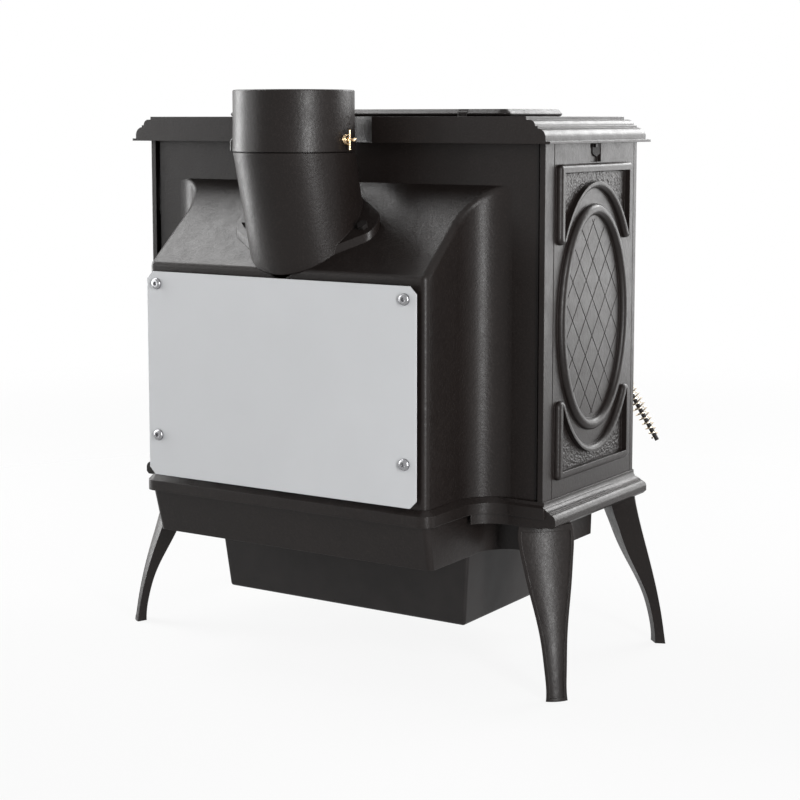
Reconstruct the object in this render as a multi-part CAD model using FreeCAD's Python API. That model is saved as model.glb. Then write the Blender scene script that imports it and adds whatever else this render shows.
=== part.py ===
import FreeCAD, Part
import math
import os

from FreeCAD import Rotation, Vector

# A cast iron wood stove. Millimetres, +Z up, the rear to +Y, the door to -Y. The origin is on the floor in the
# middle of the four feet.

# Body of the stove
CAST = 8.0                    # thickness of the side, rear and front castings
SIDE_X = 334.3                # outer face of a side casting
SIDE_REAR_Y = 152.3
SIDE_FRONT_Y = -112.0
CORNER_OUT = 10.0             # from the side casting's front edge to the canted corner
CANT = 48.0                   # depth of the canted corner
CASTING_GAP = 1.0             # open joint between the side and front castings
BASE_TOP_Z = 262.0
WALL_H = 474.5                # height of the castings between the base and the top plate

# Top plate
TOP_H = 35.5                  # height of the top plate with its moulding
TOP_SLAB = 10.0
TOP_REAR_OUT = 21.7           # from the side casting's rear edge out to the top plate's
TOP_FLAT_IN = 17.3            # from the wall's outer face in to the edge of the flat top
TOP_SKIRT_IN = 20.0           # from the wall's outer face in to the moulding's hidden side
TOP_LIP_OUT = 18.0            # from the wall's outer face out to the lip
TOP_LIP_H = 3.4
# the two rounds of the moulding: shares of its width, from the flat top to the lip, and of its height
TOP_UPPER_ROUND = [(0.1360, 0.1183), (0.3059, 0.1887), (0.3768, 0.3493)]
TOP_LOWER_ROUND = [(0.4816, 0.4338), (0.7167, 0.5408), (0.8130, 0.7775)]
NOTCH_ROOM = 24.5             # room round the flue in the recess of the rear edge

# Lid over the top opening
LID_IN_X = 94.3               # from the side casting's face in to the lid's edge
LID_IN_REAR = 85.0            # from the top plate's rear edge in to the lid's
LID_IN_FRONT = 87.0           # from the front casting's face in to the lid's edge
LID_H = 10.0
LID_CORNER = 14.0
LID_LAP = 16.0                # how far the lid laps over the opening's edge
LID_GAP = 0.3
LID_PIN_R = 2.0
LID_PIN_L = 34.0
LID_LUG_IN = 70.0             # from the lid's end in to a hinge lug
LID_LUG_W = 14.0
LID_LUG_GAP = 0.8
LID_HEEL_R = 4.0              # rounded heel, concentric with the hinge line
LID_RIM_OVER = 0.2            # the upright rim is this much taller than the heel
ROPE_R = 3.0                  # rope seal under the lid
ROPE_BEND = 12.0              # bend of the rope at the corners
ROPE_GAP = 0.1                # from the top plate to the rope

# Side casting ornament
STILE_W = 24.3                # width of the rear stile
STILE_GROOVE = 1.6
OVAL_ALONG = 0.47295          # middle of the ornament, as a share of the side's depth
OVAL_UP = 0.49631             # middle of the ornament, as a share of the side's height
OVAL_WIDE = 0.38593           # half width of the oval, as a share of the side's depth
OVAL_TALL = 0.32982           # half height of the oval, as a share of the side's height
OVAL_BAND = 16.0
RELIEF = 8.0
OVAL_ROUND = 7.0
LATTICE_Y = 39.0              # width of one diamond
LATTICE_Z = 52.0              # height of one diamond
LATTICE_CUT_W = 1.3
LATTICE_CUT_D = 1.2
FRAME_WIDE = 0.41052          # half width of the frame, as a share of the side's depth
FRAME_CLEAR = 1.5             # from the clip's slot down to the frame
FRAME_END = 0.66773           # where the frame's upright beads end, as a share of the oval's half height
FRAME_BEAD = 11.0
FRAME_RELIEF = 8.0
FRAME_ROUND = 6.0
FRAME_CORNER = 7.0            # round of the frame's outer corners
FRAME_TIP = 0.55              # round of the upright beads' ends, as a share of their width
ARCH_GAP_Y = 9.0              # clear band between the oval and the arch
ARCH_TALL = 1.13419           # half height of the arch, as a share of the oval's
ARCH_BEAD = 9.0
CLIP_OFF = 4.5                # from the ornament's middle to the clip
CLIP_SLOT_W = 33.0
CLIP_SLOT_H = 26.0
CLIP_SLOT_D = 5.5
CLIP_W = 17.0
CLIP_H = 19.0
CLIP_T = 4.8
CLIP_THIN = 1.5               # thickness at the wedge's thin edge
CLIP_PIN_R = 2.6

# Rear casting with its deep smoke chamber
PANEL_IN = 5.0                # from the side casting's rear edge in to the panel's face
PANEL_GAP = 3.9               # from the side casting in to the panel's edge
CHAMBER_DEPTH = 133.7         # from the panel's face out to the chamber's rear face
CHAMBER_IN = 90.4             # from the panel's edge in to the chamber's side
CHAMBER_CORNER = 9.0
COVE_R = 51.0
HOOD_DOWN = 55.5              # from the top plate down to where the hood's slope leaves the panel
HOOD_DROP = 115.0             # height of the slope
HOOD_ROUND = 9.0

# Heat shield on the rear
SHIELD_IN = 7.3               # from the chamber's side in to the shield's edge
SHIELD_UP = 3.5               # from the base up to the shield
SHIELD_DOWN = 10.4            # from the hood's foot down to the shield's top
SHIELD_CORNER = 10.0
SHIELD_T = 2.0
SHIELD_STANDOFF = 10.4
SCREW_IN = 17.7               # from the shield's edge in to the screws
SCREW_UP = 57.5               # from the shield's lower edge up to the lower screws
SCREW_DOWN = 17.1             # from the shield's upper edge down to the upper screws
SCREW_R = 3.0
SCREW_HEAD_R = 8.0
SCREW_HEAD_H = 4.4
SCREW_SOCKET_R = 3.2
SCREW_SOCKET_D = 2.6
SPACER_R = 7.0

# Base casting
BASE_T = 22.0
LEDGE_OUT = 8.4               # the ledge stands out this far past the rear casting
LEDGE_CHAMFER = 7.4
LEDGE_END_OUT = 3.7           # from the side casting's face out to the ledge's end
BAND_H = 14.0                 # height of the corner bands that carry the legs
BAND_IN = 3.4                 # the bands stand in this far from the ledge
FRONT_BAND_L = 61.0           # from the canted corner back to the end of the front bands
REAR_BAND_L = 169.8           # from the panel's face to the front end of the rear bands
MOULD_OUT = 19.2              # the side moulding stands out this far past the wall
MOULD_H = 34.0
MOULD_CHAMFER = 4.0
# its cove and its round: shares of how far it stands out and of its height
MOULD_COVE = [(0.1042, 0.0882), (0.2604, 0.2941), (0.5729, 0.3824)]
MOULD_ROUND = [(0.7031, 0.4559), (0.9167, 0.5471), (1.0, 0.7059)]
GRATE_Y = 20.0                # middle of the grate
GRATE_HALF_X = 150.0
GRATE_HALF_Y = 70.0
GRATE_LAP = 12.0
GRATE_T = 14.0
GRATE_BARS = 11
GRATE_CLEAR = 0.5

# Tray under the base and ash box below it
TRAY_H = 61.5
TRAY_WALL = 6.0
TRAY_IN = 1.0                 # from the chamber's rear face in to the tray's
TRAY_OUT = 1.0                # from the chamber's side out to the tray's
TRAY_TAPER = 15.0             # how far the walls lean in at the bottom of the rear face
TRAY_SIDE_TAPER = 2.0
TRAY_COVE = 46.0
TRAY_SHOULDER_IN = 51.3       # from the panel's face in to the tray's shoulder
TRAY_SIDE_IN = 25.3           # from the side casting's face in to the tray's side
TRAY_FRONT_Y = -45.0
TRAY_CORNER = 8.0
BOX_H = 108.5
BOX_WALL = 5.0
BOX_HALF_BOTTOM = 205.0
BOX_LEAN = 11.0               # how far a side leans out at the top
BOX_REAR_Y = 137.0
BOX_REAR_LEAN = 9.0
BOX_FRONT_IN = 20.0           # from the front casting's face in to the box
BOX_ROUND = 5.0

# Ash drawer
PAN_WALL = 2.5
PAN_CLEAR = 3.0
PAN_HEAD = 19.2               # clear room above the drawer's walls
PAN_SLIDE_GAP = 0.3
PAN_FRONT_T = 6.0
PAN_PULL_HALF = 45.0
PAN_PULL_R = 5.0
PAN_PULL_OUT = 26.0

# Legs
FOOT_OUT_X = 27.7             # from the side casting's face out to the toe
FOOT_OUT_Y = 9.7              # from the side casting's rear edge out to the toe
FOOT_HALF_DEPTH = 8.5
LEG_LEAN_DEG = 45.0
LEG_CAP_H = 8.0
LEG_BORDER = 4.5
LEG_SINK = 1.6
LEG_SAG = 0.11                # bow of the face, as a share of its width
LEG_BACK = 0.62               # width of the back, as a share of the face
# share of the leg's height, how far the face has come in from the toe, depth, width of the face
LEG_SECTIONS = [
    (1.00, 54.0, 40.0, 74.0),
    (0.82, 44.5, 38.0, 73.5),
    (0.66, 34.0, 34.5, 62.0),
    (0.50, 23.5, 27.0, 48.0),
    (0.33, 13.5, 18.5, 36.5),
    (0.17, 6.0, 15.5, 31.0),
    (0.03, 1.0, 16.0, 29.0),
    (0.00, 0.0, 17.0, 30.5),
]
LEG_BOLT_R = 5.0
LEG_BOLT_DEPTH = 22.0
LEG_BOLT_GRIP = 12.0
LEG_BOLT_CLEAR = 0.6

# Flue
FLUE_IN = 33.0                # from the chamber's rear face in to the flue's middle
FLUE_R = 82.5
FLUE_WALL = 5.5
FLUE_UP = 35.5                # from the top plate up to the collar's rim
SEAM_DOWN = 46.5              # from the top plate down to the seam between collar and boot
SEAM_GAP = 1.2
SPIGOT_H = 10.0
SPIGOT_WALL = 3.0
BOOT_LEAN = 0.2587            # how far the boot runs to the front for each unit that it drops
FLANGE_T = 9.0
FLANGE_RIM = 3.5
FLANGE_HALF_Y = 56.0          # half width of the flange between its ears
EAR_OUT = 15.5                # from the flue's wall out to an ear's middle
EAR_R = 19.0
EAR_BOLT_R = 4.0
EAR_BOLT_HEAD_R = 7.5
EAR_BOLT_HEAD_H = 5.5
FLUE_RIM_ROUND = 2.0
FLUE_SLIP_L = 45.0            # length of the wall that a pipe slips over
FLUE_DRAFT = 1.0              # how much wider the collar grows from there down to the seam

# Flue damper
DAMPER_UP = 15.7              # from the seam up to the rod
DAMPER_CLEAR = 13.0           # from the collar's inside to the plate
DAMPER_T = 3.5
DAMPER_ROD_R = 3.0
DAMPER_BORE_GAP = 0.06
DAMPER_TIP_OUT = 7.3          # from the cross bar out to the ball
DAMPER_BALL_R = 2.8
DAMPER_BAR_R = 1.6
DAMPER_BAR_L = 27.0
DAMPER_TAIL_OUT = 24.5        # from the collar out to the tail's end
DAMPER_TAIL_R = 1.8
DAMPER_TAIL_BEND = 5.0
DAMPER_TAIL_DROP = 11.0
SPRING_R = 6.6
SPRING_WIRE_R = 0.5
SPRING_TURNS = 3
SPRING_PITCH = 1.75
SPRING_GAP = 0.5              # from the collar to the spring's first turn
SPRING_SEAT = 0.02            # how far the spring beds on the cross bar

# Front casting and door
OPENING_IN = 30.3             # from the canted corner in to the opening
OPENING_UP = 40.0             # from the base up to the opening
OPENING_DOWN = 46.5           # from the top plate down to the opening
DOOR_LAP = 16.0               # how far the door laps over the opening's edge
DOOR_T = 14.0
DOOR_SEAL_R = 3.6
DOOR_SEAL_BEND = 14.4
DOOR_SEAL_GAP = 0.3
DOOR_STILE = 66.0             # width of the door's frame
DOOR_ROUND = 18.0
GLASS_T = 5.0
GLASS_LAP = 9.0
GLASS_CLEAR = 1.0
GLASS_CLIP_W = 26.0
GLASS_CLIP_T = 2.0
GLASS_CLIP_REACH = 11.0
HINGE_R = 7.0
HINGE_PIN_R = 4.0
HINGE_BORE_GAP = 0.06
HINGE_X_OUT = 7.6             # from the door's edge out to the hinge line
HINGE_UP = 58.0               # from the opening's lower edge up to the lower hinge
HINGE_DOWN = 65.0             # from the opening's upper edge down to the upper hinge
KNUCKLE_H = 20.0
KNUCKLE_GAP = 0.4
HINGE_PIN_HEAD_H = 4.0

# Door handle: a spindle through the door, an arm and a wire coil round the arm
HANDLE_IN = 32.0              # from the door's edge in to the spindle
HANDLE_UP = 128.0             # from the opening's lower edge up to the spindle
HANDLE_OUT = 27.1             # from the door's face out to the arm
HANDLE_LEAN_DEG = 33.1        # the arm hangs this far out from straight down
SPINDLE_R = 6.0
SPINDLE_BORE_GAP = 0.06
ARM_R = 3.2
ARM_L = 166.0
CAM_L = 34.0
CAM_W = 11.0
CAM_T = 8.0
CAM_GAP = 1.5                 # from the wall's inner face to the cam
COIL_START = 28.0
COIL_PITCH = 8.2
COIL_TURNS = 16
COIL_WIRE_R = 1.2
COIL_END_R = 4.8
COIL_MID_R = 10.6

# Air control under the base
AIR_SLOT_X = 22.0
AIR_SLOT_W = 12.0
AIR_SLOT_L = 23.0
AIR_IN = 58.0                 # from the front casting's face in to the shutter's middle
AIR_HALF_X = 52.0
AIR_HALF_Y = 20.0
AIR_T = 4.0
AIR_GAP = 0.3
RAIL_W = 8.0
RAIL_LIP = 6.0
RAIL_HALF_X = 82.0
AIR_ROD_R = 3.5
AIR_ROD_OUT = 33.0            # from the front casting's face out to the rod's tip
AIR_ROD_CLEAR = 1.0           # below the front moulding
AIR_KNOB_R = 8.0

# Firebox lining
BRICK_T = 28.0
BRICK_GAP = 0.5
BRICK_ROOM = 134.5            # from the top plate down to the bricks
REAR_BRICK_DOWN = 40.0        # the rear brick is this much lower
BAFFLE_T = 22.0
BAFFLE_IN = 100.0             # from the front casting's face in to the baffle

# Sizes that follow from those above
FRONT_CORNER_Y = SIDE_FRONT_Y - CORNER_OUT
FRONT_Y = FRONT_CORNER_Y - CANT
CANT_X = SIDE_X - CANT
SIDE_DEPTH = SIDE_REAR_Y - SIDE_FRONT_Y
TOP_UNDER_Z = BASE_TOP_Z + WALL_H
TOP_Z = TOP_UNDER_Z + TOP_H
TOP_REAR_Y = SIDE_REAR_Y + TOP_REAR_OUT
LID_HALF_X = SIDE_X - LID_IN_X
LID_REAR_Y = TOP_REAR_Y - LID_IN_REAR
LID_FRONT_Y = FRONT_Y + LID_IN_FRONT
LID_LUG_X = LID_HALF_X - LID_LUG_IN
LID_CHAMFER = LID_H - LID_HEEL_R - LID_RIM_OVER
STILE_Y = SIDE_REAR_Y - STILE_W
OVAL_Y = SIDE_FRONT_Y + SIDE_DEPTH * OVAL_ALONG
OVAL_Z = BASE_TOP_Z + WALL_H * OVAL_UP
OVAL_HALF_Y = SIDE_DEPTH * OVAL_WIDE
OVAL_HALF_Z = WALL_H * OVAL_TALL
FRAME_HALF_Y = SIDE_DEPTH * FRAME_WIDE
FRAME_TOP_Z = TOP_UNDER_Z - CLIP_SLOT_H - FRAME_CLEAR
FRAME_END_Z = OVAL_Z + OVAL_HALF_Z * FRAME_END
CLIP_Y = OVAL_Y - CLIP_OFF
PANEL_Y = SIDE_REAR_Y - PANEL_IN
PANEL_HALF_X = SIDE_X - CAST - PANEL_GAP
CHAMBER_Y = PANEL_Y + CHAMBER_DEPTH
CHAMBER_HALF_X = PANEL_HALF_X - CHAMBER_IN
HOOD_TOP_Z = TOP_UNDER_Z - HOOD_DOWN
HOOD_FOOT_Z = HOOD_TOP_Z - HOOD_DROP
HOOD_LEN = math.hypot(CHAMBER_DEPTH, HOOD_DROP)
HOOD_N = Vector(0, HOOD_DROP / HOOD_LEN, CHAMBER_DEPTH / HOOD_LEN)
SHIELD_HALF_X = CHAMBER_HALF_X - SHIELD_IN
SHIELD_BOTTOM_Z = BASE_TOP_Z + SHIELD_UP
SHIELD_TOP_Z = HOOD_FOOT_Z - SHIELD_DOWN
SCREW_X = SHIELD_HALF_X - SCREW_IN
SCREW_LOW_Z = SHIELD_BOTTOM_Z + SCREW_UP
SCREW_HIGH_Z = SHIELD_TOP_Z - SCREW_DOWN
BASE_UNDER_Z = BASE_TOP_Z - BASE_T
BAND_UNDER_Z = BASE_UNDER_Z - BAND_H
FRONT_BAND_Y = FRONT_CORNER_Y + FRONT_BAND_L
REAR_BAND_Y = PANEL_Y - REAR_BAND_L
MOULD_UNDER_Z = BASE_TOP_Z - MOULD_H
GRATE_DROP_X = GRATE_HALF_X - GRATE_LAP
GRATE_DROP_Y = GRATE_HALF_Y - GRATE_LAP
LEDGE_END_X = SIDE_X + LEDGE_END_OUT
TRAY_UNDER_Z = BASE_UNDER_Z - TRAY_H
TRAY_REAR_Y = CHAMBER_Y - TRAY_IN
TRAY_HALF_X = CHAMBER_HALF_X + TRAY_OUT
TRAY_SHOULDER_Y = PANEL_Y - TRAY_SHOULDER_IN
TRAY_SIDE_X = SIDE_X - TRAY_SIDE_IN
BOX_BOTTOM_Z = TRAY_UNDER_Z - BOX_H
BOX_HALF_TOP = BOX_HALF_BOTTOM + BOX_LEAN
BOX_REAR_TOP_Y = BOX_REAR_Y + BOX_REAR_LEAN
BOX_FRONT_Y = FRONT_Y + BOX_FRONT_IN
PAN_H = BOX_H - BOX_WALL - PAN_SLIDE_GAP - PAN_HEAD
FOOT_X = SIDE_X + FOOT_OUT_X
FOOT_Y = SIDE_REAR_Y + FOOT_OUT_Y
FLUE_Y = CHAMBER_Y - FLUE_IN
FLUE_IN_R = FLUE_R - FLUE_WALL
FLUE_TOP_Z = TOP_Z + FLUE_UP
SEAM_Z = TOP_Z - SEAM_DOWN
NOTCH_R = FLUE_R + NOTCH_ROOM
EAR_X = FLUE_R + EAR_OUT
BOOT_DIR = Vector(0, -BOOT_LEAN, -1)
DAMPER_Z = SEAM_Z + DAMPER_UP
DAMPER_R = FLUE_IN_R - DAMPER_CLEAR
SPRING_X = FLUE_R + FLUE_DRAFT + SPRING_GAP + SPRING_WIRE_R
SPRING_BEARS_X = SPRING_X + SPRING_PITCH * (SPRING_TURNS - 0.25) + SPRING_WIRE_R
DAMPER_BAR_X = SPRING_BEARS_X + DAMPER_BAR_R - SPRING_SEAT
DAMPER_TIP_X = DAMPER_BAR_X + DAMPER_TIP_OUT
DAMPER_TAIL_X = FLUE_R + DAMPER_TAIL_OUT
OPENING_HALF_X = CANT_X - OPENING_IN
OPENING_BOTTOM_Z = BASE_TOP_Z + OPENING_UP
OPENING_TOP_Z = TOP_UNDER_Z - OPENING_DOWN
DOOR_HALF_X = OPENING_HALF_X + DOOR_LAP
DOOR_BOTTOM_Z = OPENING_BOTTOM_Z - DOOR_LAP
DOOR_TOP_Z = OPENING_TOP_Z + DOOR_LAP
DOOR_BACK_Y = FRONT_Y - DOOR_SEAL_R - DOOR_SEAL_GAP
DOOR_FACE_Y = DOOR_BACK_Y - DOOR_T
HINGE_X = DOOR_HALF_X + HINGE_X_OUT
HINGE_Y = (DOOR_BACK_Y + DOOR_FACE_Y) / 2
HINGE_LOW_Z = OPENING_BOTTOM_Z + HINGE_UP
HINGE_HIGH_Z = OPENING_TOP_Z - HINGE_DOWN
HANDLE_X = HANDLE_IN - DOOR_HALF_X
HANDLE_Z = OPENING_BOTTOM_Z + HANDLE_UP
HANDLE_PLANE_Y = DOOR_FACE_Y - HANDLE_OUT
AIR_Y = FRONT_Y + AIR_IN
AIR_ROD_TIP_Y = FRONT_Y - AIR_ROD_OUT
BRICK_H = WALL_H - BRICK_ROOM
REAR_BRICK_H = BRICK_H - REAR_BRICK_DOWN
BAFFLE_FRONT_Y = FRONT_Y + BAFFLE_IN
UP = Vector(0, 0, 1)
REACH = 2000.0                # longer than anything in the stove, for cutting tools


def box(x0, x1, y0, y1, z0, z1):
    """Block between two corners."""
    return Part.makeBox(x1 - x0, y1 - y0, z1 - z0, Vector(x0, y0, z0))


def rod(start, along, radius, length):
    """Round bar from a point along a direction."""
    return Part.makeCylinder(radius, length, start, along)


def face_of(points):
    """Flat face with straight edges through these points."""
    return Part.Face(Part.makePolygon(points + points[:1]))


def prism(points, z0, z1):
    """Upright prism over a plan outline of (x, y) corners."""
    return face_of([Vector(x, y, z0) for x, y in points]).extrude(Vector(0, 0, z1 - z0))


def mirror_x(shape):
    """The same shape on the other side of the stove."""
    return shape.mirror(Vector(0, 0, 0), Vector(1, 0, 0))


def joined(shapes):
    """One solid from shapes that meet."""
    return shapes[0].multiFuse(shapes[1:]).removeSplitter()


def three_point(a, middle, b):
    """Edge of a circle through three points."""
    return Part.Arc(a, middle, b).toShape()


def line(a, b):
    """Straight edge."""
    return Part.LineSegment(a, b).toShape()


def straight_run(points):
    """Straight edges from each point to the next."""
    return [line(a, b) for a, b in zip(points, points[1:])]


def corner_arc(a, corner, b):
    """Quarter round from a to b about the corner's far centre, for a square corner."""
    centre = a + b - corner
    radius = (a - centre).Length
    toward = corner - centre
    return three_point(a, centre + toward * (radius / toward.Length), b)


def stepped_outline(z, half, rear, corner, cove, shoulder, side, front):
    """Plan wire of the body: a rear block with rounded corners, coves, shoulders and straight sides."""
    cove_x = half + cove
    cove_y = shoulder + cove
    start = [
        Vector(half - corner, rear, z),
        Vector(half, rear - corner, z),
        Vector(half, cove_y, z),
        Vector(cove_x, shoulder, z),
        Vector(side, shoulder, z),
        Vector(side, front, z),
    ]
    bend = Vector(cove_x, cove_y, z) + Vector(-1, -1, 0) * (cove / math.sqrt(2))
    right = [
        corner_arc(start[0], Vector(half, rear, z), start[1]),
        line(start[1], start[2]),
        three_point(start[2], bend, start[3]),
        line(start[3], start[4]),
        line(start[4], start[5]),
    ]
    left = [mirror_x(edge) for edge in reversed(right)]
    far = Vector(-start[5].x, start[5].y, z)
    near = Vector(-start[0].x, start[0].y, z)
    return Part.Wire(Part.__sortEdges__(right + [line(start[5], far)] + left + [line(near, start[0])]))


def stepped_prism(z0, z1, *plan):
    """Upright solid over a stepped outline."""
    return Part.Face(stepped_outline(z0, *plan)).extrude(Vector(0, 0, z1 - z0))


def above_hood(lift):
    """Everything above the hood's slope, moved out by lift along the slope's normal."""
    foot = Vector(-REACH, PANEL_Y, HOOD_TOP_Z) + HOOD_N * lift
    along = Vector(0, CHAMBER_DEPTH, -HOOD_DROP) / HOOD_LEN
    a = foot - along * REACH
    b = foot + along * REACH
    return face_of([a, b, b + HOOD_N * REACH, a + HOOD_N * REACH]).extrude(Vector(2 * REACH, 0, 0))


def run_moulding(profile, spine):
    """Moulding with mitred corners: a profile of edges swept along straight runs."""
    sweep = Part.BRepOffsetAPI.MakePipeShell(Part.makePolygon(spine))
    sweep.setBiNormalMode(UP)
    sweep.setTransitionMode(1)
    sweep.add(Part.Wire(profile), False, False)
    sweep.build()
    sweep.makeSolid()
    return sweep.shape()


def wall_spine(rear_y):
    """Path along the foot of the outer walls: one side, its cant, the front and the other side."""
    right = [Vector(SIDE_X, rear_y, 0), Vector(SIDE_X, FRONT_CORNER_Y, 0), Vector(CANT_X, FRONT_Y, 0)]
    return right + [Vector(-p.x, p.y, 0) for p in reversed(right)]


def wall_plan(inset):
    """Plan corners of the body's side, cant and front line, moved in by inset."""
    turn = inset * math.tan(math.radians(22.5))
    right = [(SIDE_X - inset, FRONT_CORNER_Y + turn), (CANT_X - turn, FRONT_Y + inset)]
    return right + [(-x, y) for x, y in reversed(right)]


def screw_places():
    """Centres of the four heat shield screws."""
    return [(x, z) for x in (-SCREW_X, SCREW_X) for z in (SCREW_LOW_Z, SCREW_HIGH_Z)]


def make_top_plate():
    """Top casting: a slab, its two-step moulding, the flue recess, the lid's opening and the lid's lugs."""
    y = TOP_REAR_Y

    def at(out, down):
        return Vector(SIDE_X + out, y, TOP_Z - down)

    def round_of(shares):
        wide = TOP_FLAT_IN + TOP_LIP_OUT
        return [at(a * wide - TOP_FLAT_IN, b * TOP_H) for a, b in shares]

    upper = round_of(TOP_UPPER_ROUND)
    lower = round_of(TOP_LOWER_ROUND)
    lip = at(TOP_LIP_OUT, TOP_H - TOP_LIP_H)
    heel = at(-TOP_SKIRT_IN, 0)
    flat = at(-TOP_FLAT_IN, 0)
    profile = straight_run([heel, flat, Vector(flat.x, y, upper[0].z), upper[0]])
    profile.append(three_point(*upper))
    profile += straight_run([upper[2], Vector(lower[0].x, y, upper[2].z), lower[0]])
    profile.append(three_point(*lower))
    foot = at(-TOP_SKIRT_IN, TOP_H)
    profile += straight_run([lower[2], Vector(lower[2].x, y, lip.z), lip, at(TOP_LIP_OUT, TOP_H), foot, heel])
    skirt = run_moulding(profile, [p + Vector(0, 0, TOP_Z) for p in wall_spine(y)])
    edge = (TOP_SKIRT_IN + TOP_FLAT_IN) / 2
    plan = wall_plan(edge)
    slab = prism([(SIDE_X - edge, y)] + plan + [(edge - SIDE_X, y)], TOP_Z - TOP_SLAB, TOP_Z)
    rear_rim = box(TOP_SKIRT_IN - SIDE_X, SIDE_X - TOP_SKIRT_IN, PANEL_Y - CAST, y, TOP_UNDER_Z, TOP_Z)
    lugs = [make_lid_lug(x) for x in (-LID_LUG_X, LID_LUG_X)]
    body = joined([slab, skirt, rear_rim])
    notch = rod(Vector(0, FLUE_Y, 0), UP, NOTCH_R, REACH)
    hole = box(
        LID_LAP - LID_HALF_X, LID_HALF_X - LID_LAP, LID_FRONT_Y + LID_LAP, LID_REAR_Y - LID_LAP,
        TOP_UNDER_Z, TOP_Z,
    )
    return joined([body.cut(notch).cut(hole)] + lugs)


def lid_axis():
    """Place of the lid's hinge line in Y and Z."""
    return LID_REAR_Y - LID_HEEL_R, TOP_Z + LID_GAP + LID_HEEL_R


def make_lid_lug(x):
    """Hinge lug on the top plate, inside a notch of the lid's rear edge."""
    y, z = lid_axis()
    start = Vector(x - LID_LUG_W / 2, y, z)
    lug = rod(start, Vector(1, 0, 0), LID_HEEL_R, LID_LUG_W)
    foot = box(x - LID_LUG_W / 2, x + LID_LUG_W / 2, y - LID_HEEL_R, y + LID_HEEL_R, TOP_Z, z)
    bore = rod(start, Vector(1, 0, 0), LID_PIN_R, LID_LUG_W)
    return lug.fuse(foot).removeSplitter().cut(bore)


def rounded_block(half, y0, y1, z0, z1, radius):
    """Level block with rounded upright corners."""
    block = box(-half, half, y0, y1, z0, z1)
    return block.makeFillet(radius, [e for e in block.Edges if abs(e.tangentAt(e.FirstParameter).z) > 0.9])


def make_lid():
    """Lid with chamfered upper edges, a rounded heel, notches for the lugs and holes for the pins."""
    z0 = TOP_Z + LID_GAP
    z1 = z0 + LID_H
    body = rounded_block(LID_HALF_X, LID_FRONT_Y, LID_REAR_Y, z0, z1, LID_CORNER)
    rim = [e for e in body.Edges if min(v.Z for v in e.Vertexes) > z1 - 0.01]
    body = body.makeChamfer(LID_CHAMFER, rim)
    heel = [
        e for e in body.Edges
        if max(abs(v.Z - z0) for v in e.Vertexes) < 0.01 and min(v.Y for v in e.Vertexes) > LID_REAR_Y - 0.01
    ]
    body = body.makeFillet(LID_HEEL_R, heel)
    y, z = lid_axis()
    room = LID_LUG_W / 2 + LID_LUG_GAP
    for x in (-LID_LUG_X, LID_LUG_X):
        body = body.cut(box(x - room, x + room, y - LID_HEEL_R - LID_LUG_GAP, LID_REAR_Y, z0, z1))
        bore_r = LID_PIN_R + HINGE_BORE_GAP
        body = body.cut(rod(Vector(x - LID_PIN_L / 2 - 1, y, z), Vector(1, 0, 0), bore_r, LID_PIN_L + 2))
    return body.cut(lid_channel())


def lid_rope_plan():
    """Half width and front and rear line of the rope seal, a little inside the lid's edge."""
    inset = LID_LAP / 2
    return LID_HALF_X - inset, LID_FRONT_Y + inset, LID_REAR_Y - LID_LAP + ROPE_R


def lid_rope_z():
    """Height of the rope's middle."""
    return TOP_Z + ROPE_GAP + ROPE_R


def lid_channel():
    """Channel in the lid's underside, as wide as the rope."""
    half, low, high = lid_rope_plan()
    z0, z1 = TOP_Z, lid_rope_z() + ROPE_R
    r = ROPE_R
    outer = rounded_block(half + r, low - r, high + r, z0, z1, ROPE_BEND + r)
    return outer.cut(rounded_block(half - r, low + r, high - r, z0, z1, ROPE_BEND - r))


def lid_rope():
    """Rope seal in the lid's channel."""
    z = lid_rope_z()
    return rope_loop(*lid_rope_plan(), ROPE_R, ROPE_BEND, lambda a, b: Vector(a, b, z))


def rope_loop(half, low, high, radius, bend, place):
    """Closed rope round a rectangle with rounded corners; place turns two plan values into a point."""
    corners = [(half, low), (half, high), (-half, high), (-half, low)]
    edges = []
    ends = []
    for i, (a, b) in enumerate(corners):
        before = corners[i - 1]
        after = corners[(i + 1) % 4]
        first = (a + bend * sign(before[0] - a), b + bend * sign(before[1] - b))
        last = (a + bend * sign(after[0] - a), b + bend * sign(after[1] - b))
        ends.append((first, (a, b), last))
    for i, (first, corner, last) in enumerate(ends):
        edges.append(corner_arc(place(*first), place(*corner), place(*last)))
        edges.append(line(place(*last), place(*ends[(i + 1) % 4][0])))
    start = edges[1]
    middle = start.valueAt((start.FirstParameter + start.LastParameter) / 2)
    along = start.tangentAt(start.FirstParameter)
    spine = Part.Wire([line(middle, start.Vertexes[1].Point)] + edges[2:] + edges[:1]
                      + [line(start.Vertexes[0].Point, middle)])
    ring = Part.Wire(Part.makeCircle(radius, middle, along))
    return spine.makePipeShell([ring], True, False)


def sign(value):
    """1, 0 or -1."""
    return (value > 0) - (value < 0)


def make_lid_pins():
    """Two short hinge pins, fixed in the lugs."""
    y, z = lid_axis()
    pins = [rod(Vector(x - LID_PIN_L / 2, y, z), Vector(1, 0, 0), LID_PIN_R, LID_PIN_L)
            for x in (-LID_LUG_X, LID_LUG_X)]
    return Part.makeCompound(pins)


def ellipse_plate(half_y, half_z, x0, x1):
    """Oval plate on the photographed side, centred on the ornament, between two X planes."""
    curve = Part.Ellipse(Vector(x0, OVAL_Y, OVAL_Z + half_z), Vector(x0, OVAL_Y + half_y, OVAL_Z),
                         Vector(x0, OVAL_Y, OVAL_Z))
    return Part.Face(Part.Wire(curve.toShape())).extrude(Vector(x1 - x0, 0, 0))


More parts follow.
